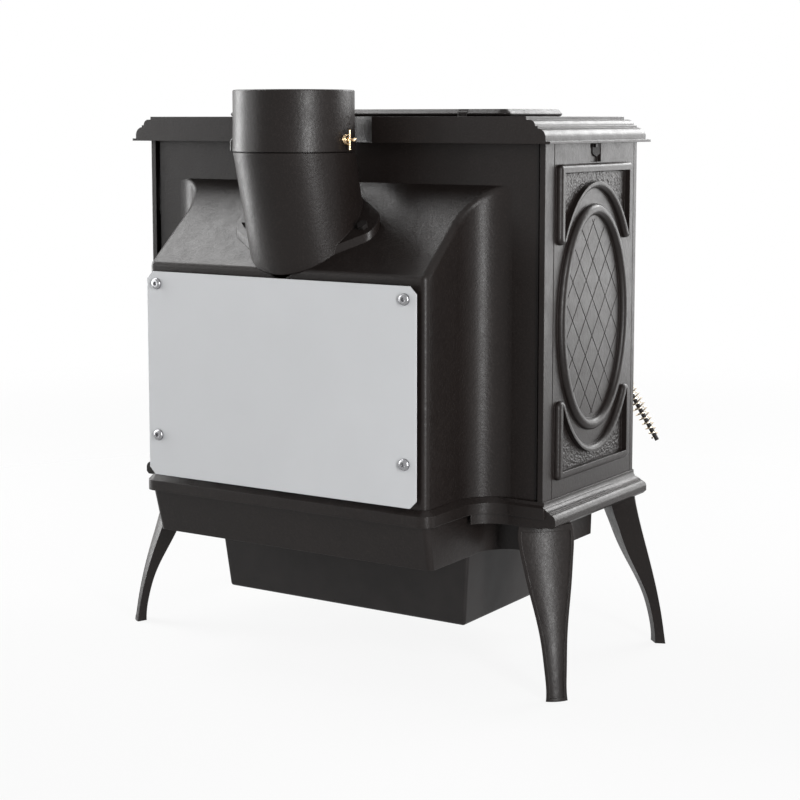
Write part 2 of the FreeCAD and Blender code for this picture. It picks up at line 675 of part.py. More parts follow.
def make_oval_ring():
    """Half round ring of the ornament."""
    x1 = SIDE_X + RELIEF
    outer = ellipse_plate(OVAL_HALF_Y, OVAL_HALF_Z, SIDE_X - 1, x1)
    inner = ellipse_plate(OVAL_HALF_Y - OVAL_BAND, OVAL_HALF_Z - OVAL_BAND, SIDE_X - 1, x1)
    ring = outer.cut(inner)
    rims = [e for e in ring.Edges if abs(e.CenterOfMass.x - x1) < 0.01 and e.Length > 4 * OVAL_BAND]
    return ring.makeFillet(OVAL_ROUND, rims)


def edges_along_x(shape, z):
    """Edges of a shape that run along X at a height."""
    level = [e for e in shape.Edges if abs(e.CenterOfMass.z - z) < 1]
    return [e for e in level if abs(e.tangentAt(e.FirstParameter).x) > 0.9]


def make_spandrel():
    """Upper frame of the ornament: a bead round a sunk field, with an arch that follows the oval."""
    x1 = SIDE_X + FRAME_RELIEF
    low, high = OVAL_Y - FRAME_HALF_Y, OVAL_Y + FRAME_HALF_Y
    plate = box(SIDE_X - 1, x1, low, high, FRAME_END_Z, FRAME_TOP_Z)
    arch_y, arch_z = OVAL_HALF_Y + ARCH_GAP_Y, OVAL_HALF_Z * ARCH_TALL
    plate = plate.cut(ellipse_plate(arch_y, arch_z, SIDE_X - 1, x1))
    field = box(
        SIDE_X, x1, low + FRAME_BEAD, high - FRAME_BEAD, FRAME_END_Z, FRAME_TOP_Z - FRAME_BEAD,
    ).cut(ellipse_plate(arch_y + ARCH_BEAD, arch_z + ARCH_BEAD, SIDE_X - 1, x1))
    end_w = FRAME_HALF_Y - arch_y * math.sqrt(1 - ((FRAME_END_Z - OVAL_Z) / arch_z) ** 2)
    plate = plate.makeFillet(FRAME_CORNER, edges_along_x(plate, FRAME_TOP_Z))
    plate = plate.makeFillet(FRAME_TIP * end_w, edges_along_x(plate, FRAME_END_Z))
    rims = [e for e in plate.Edges if min(v.X for v in e.Vertexes) > x1 - 0.01]
    return plate.makeFillet(FRAME_ROUND, rims).cut(field)


def make_lattice():
    """Thin grooves crossing as diamonds inside the oval."""
    half = Vector(0, LATTICE_Y / 2, LATTICE_Z / 2)
    pitch = LATTICE_Y * LATTICE_Z / half.Length / 2
    count = int(OVAL_HALF_Z / pitch) + 1
    centre = Vector(SIDE_X, OVAL_Y, OVAL_Z)
    angle = math.degrees(math.atan2(LATTICE_Z, LATTICE_Y))
    bars = []
    for turn in (angle, -angle):
        for i in range(-count, count + 1):
            offset = (i + 0.5) * pitch
            low, high = offset - LATTICE_CUT_W / 2, offset + LATTICE_CUT_W / 2
            bar = box(-LATTICE_CUT_D, 1, -REACH / 2, REACH / 2, low, high)
            bar.rotate(Vector(0, 0, 0), Vector(1, 0, 0), turn)
            bar.translate(centre)
            bars.append(bar)
    room = OVAL_BAND + 4 * LATTICE_CUT_W
    field = ellipse_plate(OVAL_HALF_Y - room, OVAL_HALF_Z - room, SIDE_X - LATTICE_CUT_D, SIDE_X + 1)
    return field.common(Part.makeCompound(bars))


def make_side_panel():
    """Side casting on the +X side with its ornament, stile line and clip slot."""
    x0 = SIDE_X - CAST
    plate = box(x0, SIDE_X, SIDE_FRONT_Y, SIDE_REAR_Y, BASE_TOP_Z, TOP_UNDER_Z)
    upper = make_spandrel()
    lower = upper.mirror(Vector(0, 0, OVAL_Z), UP)
    plate = joined([plate, make_oval_ring(), upper, lower])
    groove = box(SIDE_X - STILE_GROOVE, SIDE_X, STILE_Y - STILE_GROOVE, STILE_Y, BASE_TOP_Z, TOP_UNDER_Z)
    slot = box(
        SIDE_X - CLIP_SLOT_D, SIDE_X, CLIP_Y - CLIP_SLOT_W / 2, CLIP_Y + CLIP_SLOT_W / 2,
        TOP_UNDER_Z - CLIP_SLOT_H, TOP_UNDER_Z,
    )
    return plate.cut(make_lattice()).cut(groove).cut(slot)


def make_clip():
    """Wedge shaped clip with its pin, in the slot at the top of the +X side casting."""
    x0 = SIDE_X - CLIP_SLOT_D
    z1 = TOP_UNDER_Z
    z0 = z1 - CLIP_H
    half = CLIP_W / 2
    outline = [(-half, z1), (half, z1), (half, z0 + half / 2), (0, z0), (-half, z0 + half / 2)]
    y0 = CLIP_Y - (CLIP_SLOT_W - CLIP_W) / 2
    plan = [(x0, -half), (x0 + CLIP_T, -half), (x0 + CLIP_THIN, half), (x0, half)]
    wedge = face_of([Vector(x, y0 + y, z0) for x, y in plan]).extrude(Vector(0, 0, CLIP_H))
    tab = face_of([Vector(x0, y0 + y, z) for y, z in outline]).extrude(Vector(CLIP_T, 0, 0)).common(wedge)
    pin = rod(Vector(x0, y0 + half / 2, z1 - CLIP_PIN_R * 1.5), Vector(1, 0, 0), CLIP_PIN_R, CLIP_SLOT_D)
    return tab.fuse(pin).removeSplitter()


def make_rear_casting():
    """Rear casting: a flat panel with a deep hooded chamber, open to the firebox, and the flue's outlet."""
    side = CHAMBER_HALF_X + COVE_R + CAST
    inner_y = PANEL_Y - CAST
    plan = (CHAMBER_HALF_X, CHAMBER_Y, CHAMBER_CORNER, COVE_R, PANEL_Y, side, inner_y)
    outer = stepped_prism(BASE_TOP_Z, TOP_UNDER_Z, *plan).cut(above_hood(0))
    ridge = []
    for e in outer.Edges:
        on_hood = all(abs((v.Point - Vector(0, PANEL_Y, HOOD_TOP_Z)).dot(HOOD_N)) < 0.01 for v in e.Vertexes)
        if on_hood and min(v.Y for v in e.Vertexes) > PANEL_Y + COVE_R - 0.1:
            ridge.append(e)
    outer = outer.makeFillet(HOOD_ROUND, ridge)
    panel = box(-PANEL_HALF_X, PANEL_HALF_X, inner_y, PANEL_Y, BASE_TOP_Z, TOP_UNDER_Z)
    inside = stepped_prism(
        BASE_TOP_Z, TOP_UNDER_Z, CHAMBER_HALF_X - CAST, CHAMBER_Y - CAST, CHAMBER_CORNER / 2, COVE_R + CAST,
        inner_y, side, inner_y - 1,
    ).cut(above_hood(-CAST))
    return joined([outer, panel]).cut(inside).cut(boot_bore()).cut(ear_bolt_holes())


def slanted_tube(radius, z0):
    """Slanting round column of the boot, from the seam down past the hood."""
    ring = Part.Face(Part.Wire(Part.makeCircle(radius, Vector(0, FLUE_Y, z0))))
    return ring.extrude(BOOT_DIR * (z0 - HOOD_FOOT_Z + 4 * FLANGE_T))


def boot_bore():
    """Clear way of the boot down through the hood."""
    return slanted_tube(FLUE_IN_R, SEAM_Z - SEAM_GAP)


def boot_foot():
    """Middle of the boot's footprint on the hood, in Y."""
    fall = HOOD_DROP / CHAMBER_DEPTH
    stretch = 1 + BOOT_LEAN * fall
    y_at_panel = FLUE_Y - BOOT_LEAN * (SEAM_Z - HOOD_TOP_Z)
    return PANEL_Y + (y_at_panel - PANEL_Y) / stretch


def flange_plan():
    """Plan outline of the boot's flange: an oval under the tube, drawn out to two ears."""
    a = FLUE_R + FLANGE_RIM
    b = FLANGE_HALF_Y

    def gap(turn):
        reach = math.hypot(a * math.cos(turn), b * math.sin(turn))
        return reach - EAR_X * math.cos(turn) - EAR_R

    low, high = 0.0, math.pi / 2
    for _ in range(50):
        middle = (low + high) / 2
        if gap(middle) < 0:
            low = middle
        else:
            high = middle
    reach = math.hypot(a * math.cos(low), b * math.sin(low))
    neck = Vector(a * a * math.cos(low) / reach, b * b * math.sin(low) / reach, 0)
    ear = Vector(EAR_X + EAR_R * math.cos(low), EAR_R * math.sin(low), 0)
    flip = lambda p: Vector(-p.x, p.y, 0)
    down = lambda p: Vector(p.x, -p.y, 0)
    edges = [
        line(neck, ear),
        three_point(ear, Vector(EAR_X + EAR_R, 0, 0), down(ear)),
        line(down(ear), down(neck)),
        three_point_ellipse(a, b, down(neck), flip(down(neck))),
        line(flip(down(neck)), flip(down(ear))),
        three_point(flip(down(ear)), Vector(-EAR_X - EAR_R, 0, 0), flip(ear)),
        line(flip(ear), flip(neck)),
        three_point_ellipse(a, b, flip(neck), neck),
    ]
    wire = Part.Wire(edges)
    wire.translate(Vector(0, boot_foot(), 0))
    return wire


def three_point_ellipse(a, b, start, end):
    """Part of the flange's ellipse between two points, the short way over the top or bottom."""
    curve = Part.Ellipse(Vector(a, 0, 0), Vector(0, b, 0), Vector(0, 0, 0))
    first = math.atan2(start.y / b, start.x / a)
    last = math.atan2(end.y / b, end.x / a)
    low, high = min(first, last), max(first, last)
    return Part.Edge(curve, low, high)


def ear_places():
    """Centres of the flange's bolts on the hood."""
    y = boot_foot()
    z = HOOD_TOP_Z - (y - PANEL_Y) * HOOD_DROP / CHAMBER_DEPTH
    return [Vector(x, y, z) for x in (-EAR_X, EAR_X)]


def ear_bolt_holes():
    """Holes for the flange's bolts through the flange and the hood."""
    return Part.makeCompound([rod(p - HOOD_N * 2 * CAST, HOOD_N, EAR_BOLT_R, 4 * CAST) for p in ear_places()])


def make_boot():
    """Lower flue casting: a slanting tube on an eared flange, with a spigot that the collar stands on."""
    top = SEAM_Z - SEAM_GAP
    tube = slanted_tube(FLUE_R, top)
    rim = [e for e in tube.Edges if abs(e.CenterOfMass.z - top) < 0.01]
    tube = tube.makeChamfer(FLUE_RIM_ROUND / 2, rim)
    plan = flange_plan()
    plan.translate(Vector(0, 0, HOOD_FOOT_Z - 20 * FLANGE_T))
    flange = Part.Face(plan).extrude(Vector(0, 0, HOOD_TOP_Z))
    flange = flange.common(above_hood(0)).cut(above_hood(FLANGE_T))
    spigot = rod(Vector(0, FLUE_Y, top - SPIGOT_H), UP, FLUE_IN_R, 2 * SPIGOT_H + SEAM_GAP)
    body = joined([tube.common(above_hood(0)), flange])
    inner = boot_bore().cut(above_hood(REACH / 2))
    body = body.cut(inner)
    ring = spigot.cut(rod(Vector(0, FLUE_Y, top - SPIGOT_H), UP, FLUE_IN_R - SPIGOT_WALL, 3 * SPIGOT_H))
    return joined([body, ring]).cut(ear_bolt_holes())


def make_boot_bolts():
    """Two hexagon head bolts that hold the flange."""
    bolts = []
    for p in ear_places():
        seat = p + HOOD_N * FLANGE_T
        head = hexagon(seat, HOOD_N, EAR_BOLT_HEAD_R, EAR_BOLT_HEAD_H)
        bolts.append(head.fuse(rod(p - HOOD_N * CAST, HOOD_N, EAR_BOLT_R, CAST + FLANGE_T)).removeSplitter())
    return Part.makeCompound(bolts)


def hexagon(centre, along, radius, height):
    """Six sided head."""
    turn = Rotation(UP, along)
    angles = [i * math.pi / 3 for i in range(6)]
    corners = [centre + turn.multVec(Vector(math.cos(a), math.sin(a), 0) * radius) for a in angles]
    return face_of(corners).extrude(along * height)


def make_collar():
    """Upper flue ring: a slip wall for the pipe, a slightly flared foot and the damper's two bores."""
    ring = rod(Vector(0, FLUE_Y, SEAM_Z), UP, FLUE_R, FLUE_TOP_Z - SEAM_Z)
    rims = [e for e in ring.Edges if len(e.Vertexes) == 1]
    ring = ring.makeFillet(FLUE_RIM_ROUND, [e for e in rims if e.CenterOfMass.z > SEAM_Z + 1])
    stop = FLUE_TOP_Z - FLUE_RIM_ROUND - FLUE_SLIP_L
    ring = ring.fuse(Part.makeCone(FLUE_R + FLUE_DRAFT, FLUE_R, stop - SEAM_Z, Vector(0, FLUE_Y, SEAM_Z), UP))
    ring = ring.removeSplitter().cut(rod(Vector(0, FLUE_Y, SEAM_Z), UP, FLUE_IN_R, REACH))
    return ring.cut(damper_bore(DAMPER_ROD_R + DAMPER_BORE_GAP))


def damper_bore(radius):
    """Round hole right through the flue for the damper's rod."""
    return rod(Vector(-2 * FLUE_R, FLUE_Y, DAMPER_Z), Vector(1, 0, 0), radius, 4 * FLUE_R)


def make_damper_plate():
    """Round flap on the damper's rod, standing open."""
    half = DAMPER_T / 2
    flap = rod(Vector(0, FLUE_Y - half, DAMPER_Z), Vector(0, 1, 0), DAMPER_R, DAMPER_T)
    hub_r = 2 * DAMPER_ROD_R
    hub = rod(Vector(-DAMPER_R / 2, FLUE_Y, DAMPER_Z), Vector(1, 0, 0), hub_r, DAMPER_R)
    return flap.fuse(hub).removeSplitter().cut(damper_bore(DAMPER_ROD_R))


def make_damper_rod():
    """Rod through the collar with its bar and ball on one side and a bent tail on the other."""
    shaft = rod(Vector(-DAMPER_BAR_X, FLUE_Y, DAMPER_Z), Vector(1, 0, 0), DAMPER_ROD_R, DAMPER_BAR_X + FLUE_R)
    tip = rod(Vector(-DAMPER_TIP_X, FLUE_Y, DAMPER_Z), Vector(1, 0, 0), DAMPER_BAR_R, DAMPER_TIP_X)
    ball = Part.makeSphere(DAMPER_BALL_R, Vector(-DAMPER_TIP_X, FLUE_Y, DAMPER_Z))
    bar = rod(Vector(-DAMPER_BAR_X, FLUE_Y, DAMPER_Z - DAMPER_BAR_L / 2), UP, DAMPER_BAR_R, DAMPER_BAR_L)
    bend_x = DAMPER_TAIL_X - DAMPER_TAIL_BEND
    start = Vector(0, FLUE_Y, DAMPER_Z)
    turn = Vector(bend_x, FLUE_Y, DAMPER_Z)
    corner = Vector(DAMPER_TAIL_X, FLUE_Y, DAMPER_Z)
    below = corner - UP * DAMPER_TAIL_BEND
    end = below - UP * DAMPER_TAIL_DROP
    path = Part.Wire([line(start, turn), corner_arc(turn, corner, below), line(below, end)])
    ring = Part.Wire(Part.makeCircle(DAMPER_TAIL_R, start, Vector(1, 0, 0)))
    tail = path.makePipeShell([ring], True, False)
    return joined([shaft, tip, ball, bar, tail])


def coil_tube(place, turns, pitch, radius_at, wire_r, name):
    """Open wire coil round an axis: one tube swept on pairs of arcs for each quarter turn.

    place turns axial, sideways and upward values into a point. radius_at gives the radius at a share of
    the coil.
    """

    def point(quarters):
        angle = quarters * math.pi / 2
        r = radius_at(quarters / (4.0 * turns))
        return place(pitch * quarters / 4.0, r * math.cos(angle), r * math.sin(angle))

    def tangent(quarters):
        step = 0.001
        way = point(quarters + step) - point(quarters - step)
        return way / way.Length

    count = 4 * turns
    edges = []
    samples = []
    for i in range(count):
        arcs = biarc(point(i), tangent(i), point(i + 1), tangent(i + 1))
        edges.extend(arcs)
        samples.extend(arcs[0].discretize(5)[:-1] + arcs[1].discretize(5)[:-1])
    lead = 2 * wire_r
    first = point(0) - tangent(0) * lead
    last = point(count) + tangent(count) * lead
    edges = [line(first, point(0))] + edges + [line(point(count), last)]
    ring = Part.Wire(Part.makeCircle(wire_r, first, tangent(0)))
    sweep = Part.BRepOffsetAPI.MakePipeShell(Part.Wire(edges))
    sweep.add(ring, False, False)
    sweep.build()
    sweep.makeSolid()
    report_coil_gap(name, samples, wire_r)
    return sweep.shape()


def report_coil_gap(name, samples, wire_r):
    """Print the least gap between one turn of a coil and the turns next to it."""
    half_turn = 16
    least = min(
        (samples[i] - samples[j]).Length
        for i in range(len(samples)) for j in range(i + half_turn, min(i + 4 * half_turn, len(samples)))
    )
    print("least gap of %s to itself: %.2f mm" % (name, least - 2 * wire_r))


def biarc(p0, t0, p1, t1):
    """Two arcs that meet smoothly and leave each end along its tangent."""
    v = p1 - p0
    t = t0 + t1
    slack = 2 * (1 - t0.dot(t1))
    vt = v.dot(t)
    d = (math.sqrt(vt * vt + slack * v.dot(v)) - vt) / slack
    c0 = p0 + t0 * d
    c1 = p1 - t1 * d
    q = (c0 + c1) / 2
    return [arc_through(p0, c0, q), arc_through(q, c1, p1)]


def arc_through(a, control, b):
    """Arc from a to b whose end tangents cross at control."""
    chord = (a + b) / 2
    angle = (control - a).getAngle(b - a)
    return three_point(a, chord + (control - chord) * (math.tan(angle / 2) / math.tan(angle)), b)


def make_damper_spring():
    """Coil spring between the collar and the damper's bar."""
    return coil_tube(
        lambda s, u, v: Vector(-SPRING_X - s, FLUE_Y + u, DAMPER_Z + v),
        SPRING_TURNS, SPRING_PITCH, lambda share: SPRING_R, SPRING_WIRE_R, "damper_spring",
    )


def make_shield():
    """Sheet metal heat shield with clipped corners and four holes."""
    y0 = CHAMBER_Y + SHIELD_STANDOFF
    c = SHIELD_CORNER
    w, z0, z1 = SHIELD_HALF_X, SHIELD_BOTTOM_Z, SHIELD_TOP_Z
    right = [(w - c, z0), (w, z0 + c), (w, z1 - c), (w - c, z1)]
    outline = right + [(-x, z) for x, z in reversed(right)]
    sheet = face_of([Vector(x, y0, z) for x, z in outline]).extrude(Vector(0, SHIELD_T, 0))
    holes = [rod(Vector(x, y0, z), Vector(0, 1, 0), SCREW_R, SHIELD_T) for x, z in screw_places()]
    return sheet.cut(Part.makeCompound(holes))


def make_spacers():
    """Four tubes that hold the shield off the chamber."""
    tubes = []
    for x, z in screw_places():
        start = Vector(x, CHAMBER_Y, z)
        tube = rod(start, Vector(0, 1, 0), SPACER_R, SHIELD_STANDOFF)
        tubes.append(tube.cut(rod(start, Vector(0, 1, 0), SCREW_R, SHIELD_STANDOFF)))
    return Part.makeCompound(tubes)


def make_shield_screws():
    """Four button head screws with hexagon sockets."""
    y0 = CHAMBER_Y + SHIELD_STANDOFF + SHIELD_T
    screws = []
    for x, z in screw_places():
        head = rod(Vector(x, y0, z), Vector(0, 1, 0), SCREW_HEAD_R, SCREW_HEAD_H)
        top = [e for e in head.Edges if e.CenterOfMass.y > y0 + SCREW_HEAD_H - 0.01]
        head = head.makeFillet(SCREW_HEAD_H * 0.8, top)
        floor = y0 + SCREW_HEAD_H - SCREW_SOCKET_D
        head = head.cut(hexagon(Vector(x, floor, z), Vector(0, 1, 0), SCREW_SOCKET_R, SCREW_SOCKET_D))
        shank = rod(Vector(x, CHAMBER_Y, z), Vector(0, 1, 0), SCREW_R, y0 - CHAMBER_Y)
        screws.append(head.fuse(shank).removeSplitter())
    return Part.makeCompound(screws)


def ledge_plan(out, side, front):
    """Stepped plan that follows the rear casting at a distance."""
    return (
        CHAMBER_HALF_X + out, CHAMBER_Y + out, CHAMBER_CORNER + out, COVE_R - out, PANEL_Y + out, side, front,
    )


def tray_plan(share, inset):
    """Stepped plan of the tray; share is 0 at its top and 1 at its bottom, inset is a wall's thickness."""
    lean = TRAY_TAPER * share + inset
    side_lean = TRAY_SIDE_TAPER * share + inset
    return (
        TRAY_HALF_X - side_lean, TRAY_REAR_Y - lean, TRAY_CORNER, TRAY_COVE + inset, TRAY_SHOULDER_Y - inset,
        TRAY_SIDE_X - side_lean, TRAY_FRONT_Y + inset,
    )


def tray_body(inset, z0, z1):
    """Leaning body of the tray between two heights, moved in by inset."""
    depth = BASE_UNDER_Z - TRAY_UNDER_Z
    wires = [stepped_outline(z, *tray_plan((BASE_UNDER_Z - z) / depth, inset)) for z in (z0, z1)]
    return Part.makeLoft(wires, True, True)


def make_tray():
    """Shallow tray under the base that carries the ash box, with a drop for the ashes and a front neck."""
    shell = tray_body(0, TRAY_UNDER_Z, BASE_UNDER_Z)
    hollow = tray_body(TRAY_WALL, TRAY_UNDER_Z + TRAY_WALL, BASE_UNDER_Z)
    neck = box(-BOX_HALF_TOP, BOX_HALF_TOP, BOX_FRONT_Y, TRAY_FRONT_Y + TRAY_WALL / 2, TRAY_UNDER_Z,
               TRAY_UNDER_Z + TRAY_WALL)
    return joined([shell.cut(hollow), neck]).cut(ash_drop(TRAY_UNDER_Z, TRAY_UNDER_Z + TRAY_WALL))


def ash_drop(z0, z1):
    """Clear way for the ashes below the grate, between two heights."""
    return box(-GRATE_DROP_X, GRATE_DROP_X, GRATE_Y - GRATE_DROP_Y, GRATE_Y + GRATE_DROP_Y, z0, z1)


def make_base():
    """Base casting: a plate with a chamfered rear ledge, side mouldings, corner bands for the legs, air slots
    and a seat for the grate."""
    ledge_low = BASE_TOP_Z - LEDGE_CHAMFER
    front = TRAY_FRONT_Y
    wide = ledge_plan(LEDGE_OUT, LEDGE_END_X, front)
    slim = ledge_plan(LEDGE_OUT - LEDGE_CHAMFER, LEDGE_END_X - LEDGE_CHAMFER, front)
    ledge = stepped_prism(BASE_UNDER_Z, ledge_low, *wide)
    slope = Part.makeLoft([stepped_outline(ledge_low, *wide), stepped_outline(BASE_TOP_Z, *slim)], True, True)
    plan = wall_plan(0)
    plate = prism([(SIDE_X, SIDE_REAR_Y)] + plan + [(-SIDE_X, SIDE_REAR_Y)], BASE_UNDER_Z, BASE_TOP_Z)
    bands = stepped_prism(BAND_UNDER_Z, BASE_UNDER_Z, *ledge_plan(LEDGE_OUT - BAND_IN, SIDE_X, FRONT_BAND_Y))
    front_pad = prism([(SIDE_X, FRONT_BAND_Y)] + plan + [(-SIDE_X, FRONT_BAND_Y)], BAND_UNDER_Z, BASE_UNDER_Z)
    middle = CHAMBER_HALF_X + LEDGE_OUT
    bands = joined([bands, front_pad]).cut(box(-middle, middle, -REACH, REACH, 0, BASE_UNDER_Z))
    bands = bands.cut(tray_body(0, TRAY_UNDER_Z, BASE_UNDER_Z))
    bands = bands.cut(box(-REACH, REACH, FRONT_BAND_Y, REAR_BAND_Y, 0, BASE_UNDER_Z))
    body = joined([ledge, slope, plate, base_moulding()] + bands.Solids)
    y0, y1 = GRATE_Y - GRATE_HALF_Y, GRATE_Y + GRATE_HALF_Y
    seat = box(-GRATE_HALF_X, GRATE_HALF_X, y0, y1, BASE_TOP_Z - GRATE_T, BASE_TOP_Z)
    body = body.cut(Part.makeCompound([seat, ash_drop(0, BASE_TOP_Z)])).cut(air_slots(0, BASE_TOP_Z))
    body = body.cut(leg_bolt_holes())
    return joined([body] + air_rails())


def base_moulding():
    """Cove and round along the sides, cants and front of the base."""
    y = SIDE_REAR_Y

    def at(out, down):
        return Vector(SIDE_X + out, y, BASE_TOP_Z - down)

    cove = [at(a * MOULD_OUT, b * MOULD_H) for a, b in MOULD_COVE]
    bulge = [at(a * MOULD_OUT, b * MOULD_H) for a, b in MOULD_ROUND]
    heel = at(-CAST, 0)
    profile = straight_run([heel, Vector(cove[0].x, y, heel.z), cove[0]])
    profile.append(three_point(*cove))
    profile += straight_run([cove[2], Vector(cove[2].x, y, bulge[0].z), bulge[0]])
    profile.append(three_point(*bulge))
    chamfer = [at(MOULD_OUT, MOULD_H - MOULD_CHAMFER), at(MOULD_OUT - MOULD_CHAMFER, MOULD_H)]
    profile += straight_run([bulge[2]] + chamfer + [at(-CAST, MOULD_H), heel])
    return run_moulding(profile, [p + Vector(0, 0, BASE_TOP_Z) for p in wall_spine(y)])


def air_slots(z0, z1):
    """Two air slots between two heights, as they meet when the air is open."""
    w, l = AIR_SLOT_W / 2, AIR_SLOT_L / 2
    return Part.makeCompound([
        box(x - w, x + w, AIR_Y - l, AIR_Y + l, z0, z1) for x in (-AIR_SLOT_X, AIR_SLOT_X)
    ])


def air_rails():
    """Two rails under the base that hold the air shutter."""
    rails = []
    depth = AIR_T + 2 * AIR_GAP
    z0 = BASE_UNDER_Z - depth
    for side in (-1, 1):
        wall = AIR_Y + side * (AIR_HALF_Y + AIR_GAP + RAIL_W / 2)
        lip = AIR_Y + side * (AIR_HALF_Y + AIR_GAP + RAIL_W / 2 - RAIL_LIP / 2)
        web = box(-RAIL_HALF_X, RAIL_HALF_X, wall - RAIL_W / 2, wall + RAIL_W / 2, z0, BASE_UNDER_Z)
        reach = RAIL_W / 2 + RAIL_LIP / 2
        foot = box(-RAIL_HALF_X, RAIL_HALF_X, lip - reach, lip + reach, z0 - AIR_T, z0)
        rails.append(web.fuse(foot).removeSplitter())
    return rails


def make_air_shutter():
    """Sliding plate with two slots and its pull rod and knob."""
    z1 = BASE_UNDER_Z - AIR_GAP
    z0 = z1 - AIR_T
    plate = box(-AIR_HALF_X, AIR_HALF_X, AIR_Y - AIR_HALF_Y, AIR_Y + AIR_HALF_Y, z0, z1)
    plate = plate.cut(air_slots(z0, z1))
    drop = MOULD_UNDER_Z - AIR_ROD_R - AIR_ROD_CLEAR
    post = box(-AIR_ROD_R, AIR_ROD_R, AIR_Y - AIR_ROD_R, AIR_Y + AIR_ROD_R, drop - AIR_ROD_R, z0)
    inner = AIR_Y + AIR_ROD_R
    pull = rod(Vector(0, inner, drop), Vector(0, -1, 0), AIR_ROD_R, inner - AIR_ROD_TIP_Y)
    knob = Part.makeSphere(AIR_KNOB_R, Vector(0, AIR_ROD_TIP_Y, drop))
    return joined([plate, post, pull, knob])


def make_grate():
    """Slotted grate over the ash drop."""
    x, y = GRATE_HALF_X - GRATE_CLEAR, GRATE_HALF_Y - GRATE_CLEAR
    z0, z1 = BASE_TOP_Z - GRATE_T, BASE_TOP_Z
    grate = box(-x, x, GRATE_Y - y, GRATE_Y + y, z0, z1)
    pitch = 2 * GRATE_DROP_X / GRATE_BARS
    end = GRATE_DROP_Y - pitch / 4
    slots = []
    for i in range(GRATE_BARS):
        middle = pitch * (i + 0.5) - GRATE_DROP_X
        slots.append(box(middle - pitch / 4, middle + pitch / 4, GRATE_Y - end, GRATE_Y + end, z0, z1))
    return grate.cut(Part.makeCompound(slots))


def box_loft(inset, z0, z1, front):
    """Tapered body of the ash box between two heights, moved in by inset."""
    height = TRAY_UNDER_Z - BOX_BOTTOM_Z
    wires = []
    for z in (z0, z1):
        share = (z - BOX_BOTTOM_Z) / height
        half = BOX_HALF_BOTTOM + (BOX_HALF_TOP - BOX_HALF_BOTTOM) * share - inset
        rear = BOX_REAR_Y + (BOX_REAR_TOP_Y - BOX_REAR_Y) * share - inset
        corners = [(-half, front), (half, front), (half, rear), (-half, rear)]
        points = [Vector(x, y, z) for x, y in corners]
        wires.append(Part.makePolygon(points + points[:1]))
    return Part.makeLoft(wires, True, True)


def make_ash_box():
    """Tapered box for the ash drawer, open at the top and the front."""
    shell = box_loft(0, BOX_BOTTOM_Z, TRAY_UNDER_Z, BOX_FRONT_Y)
    round_edges = []
    for e in shell.Edges:
        low = max(v.Z for v in e.Vertexes) < BOX_BOTTOM_Z + 0.01
        rear = min(v.Y for v in e.Vertexes) > BOX_REAR_Y - 0.01
        upright = abs(e.Vertexes[0].Z - e.Vertexes[1].Z) > 1
        along = abs(e.Vertexes[0].Y - e.Vertexes[1].Y) > BOX_REAR_Y
        if (low and (rear or along)) or (rear and upright):
            round_edges.append(e)
    shell = shell.makeFillet(BOX_ROUND, round_edges)
    return shell.cut(box_loft(BOX_WALL, BOX_BOTTOM_Z + BOX_WALL, TRAY_UNDER_Z, BOX_FRONT_Y))


def pan_plan():
    """Half width and rear of the ash drawer."""
    return BOX_HALF_BOTTOM - BOX_WALL - PAN_CLEAR, BOX_REAR_Y - BOX_WALL - PAN_CLEAR


def make_ash_drawer():
    """Ash drawer: a sheet metal pan with a front plate that closes the box."""
    half, rear = pan_plan()
    z0 = BOX_BOTTOM_Z + BOX_WALL + PAN_SLIDE_GAP
    face = BOX_FRONT_Y - PAN_SLIDE_GAP
    pan = box(-half, half, face, rear, z0, z0 + PAN_H)
    w = half - PAN_WALL
    hollow = box(-w, w, face + PAN_WALL, rear - PAN_WALL, z0 + PAN_WALL, z0 + PAN_H)
    plate = box(-BOX_HALF_BOTTOM, BOX_HALF_BOTTOM, face - PAN_FRONT_T, face, BOX_BOTTOM_Z, TRAY_UNDER_Z)
    return joined([pan.cut(hollow), plate])


def make_drawer_pull():
    """Bent bar handle on the drawer's front."""
    z = (BOX_BOTTOM_Z + TRAY_UNDER_Z) / 2
    y0 = BOX_FRONT_Y - PAN_SLIDE_GAP - PAN_FRONT_T
    y1 = y0 - PAN_PULL_OUT
    bend = 2 * PAN_PULL_R
    x = PAN_PULL_HALF
    right = [Vector(x, y0, z), Vector(x, y1 + bend, z), Vector(x - bend, y1, z)]
    left = [Vector(-p.x, p.y, z) for p in right]
    path = Part.Wire([
        line(right[0], right[1]),
        corner_arc(right[1], Vector(x, y1, z), right[2]),
        line(right[2], left[2]),
        corner_arc(left[2], Vector(-x, y1, z), left[1]),
        line(left[1], left[0]),
    ])
    ring = Part.Wire(Part.makeCircle(PAN_PULL_R, right[0], Vector(0, -1, 0)))
    return path.makePipeShell([ring], True, False)


def leg_section(z, come_in, depth, width):
    """Cross-section of a leg: a bowed face, two leaning flanks and a narrow flat back."""
    face = -come_in
    sag = LEG_SAG * width
    back = LEG_BACK * width / 2
    a = Vector(face - sag, -width / 2, z)
    b = Vector(face - sag, width / 2, z)
    c = Vector(face - depth, back, z)
    d = Vector(face - depth, -back, z)
    return Part.Wire([three_point(a, Vector(face, 0, z), b)] + straight_run([b, c, d, a]))


def leg_panel_section(z, come_in, width):
    """Cross-section of the sunk panel in a leg's face."""
    half = width / 2 - LEG_BORDER
    sag = LEG_SAG * width
    bow = sag * (half / (width / 2)) ** 2
    face = -come_in - LEG_SINK
    a = Vector(face - bow, -half, z)
    b = Vector(face - bow, half, z)
    out = Vector(3 * sag, 0, 0)
    return Part.Wire([three_point(a, Vector(face, 0, z), b)] + straight_run([b, b + out, a + out, a]))


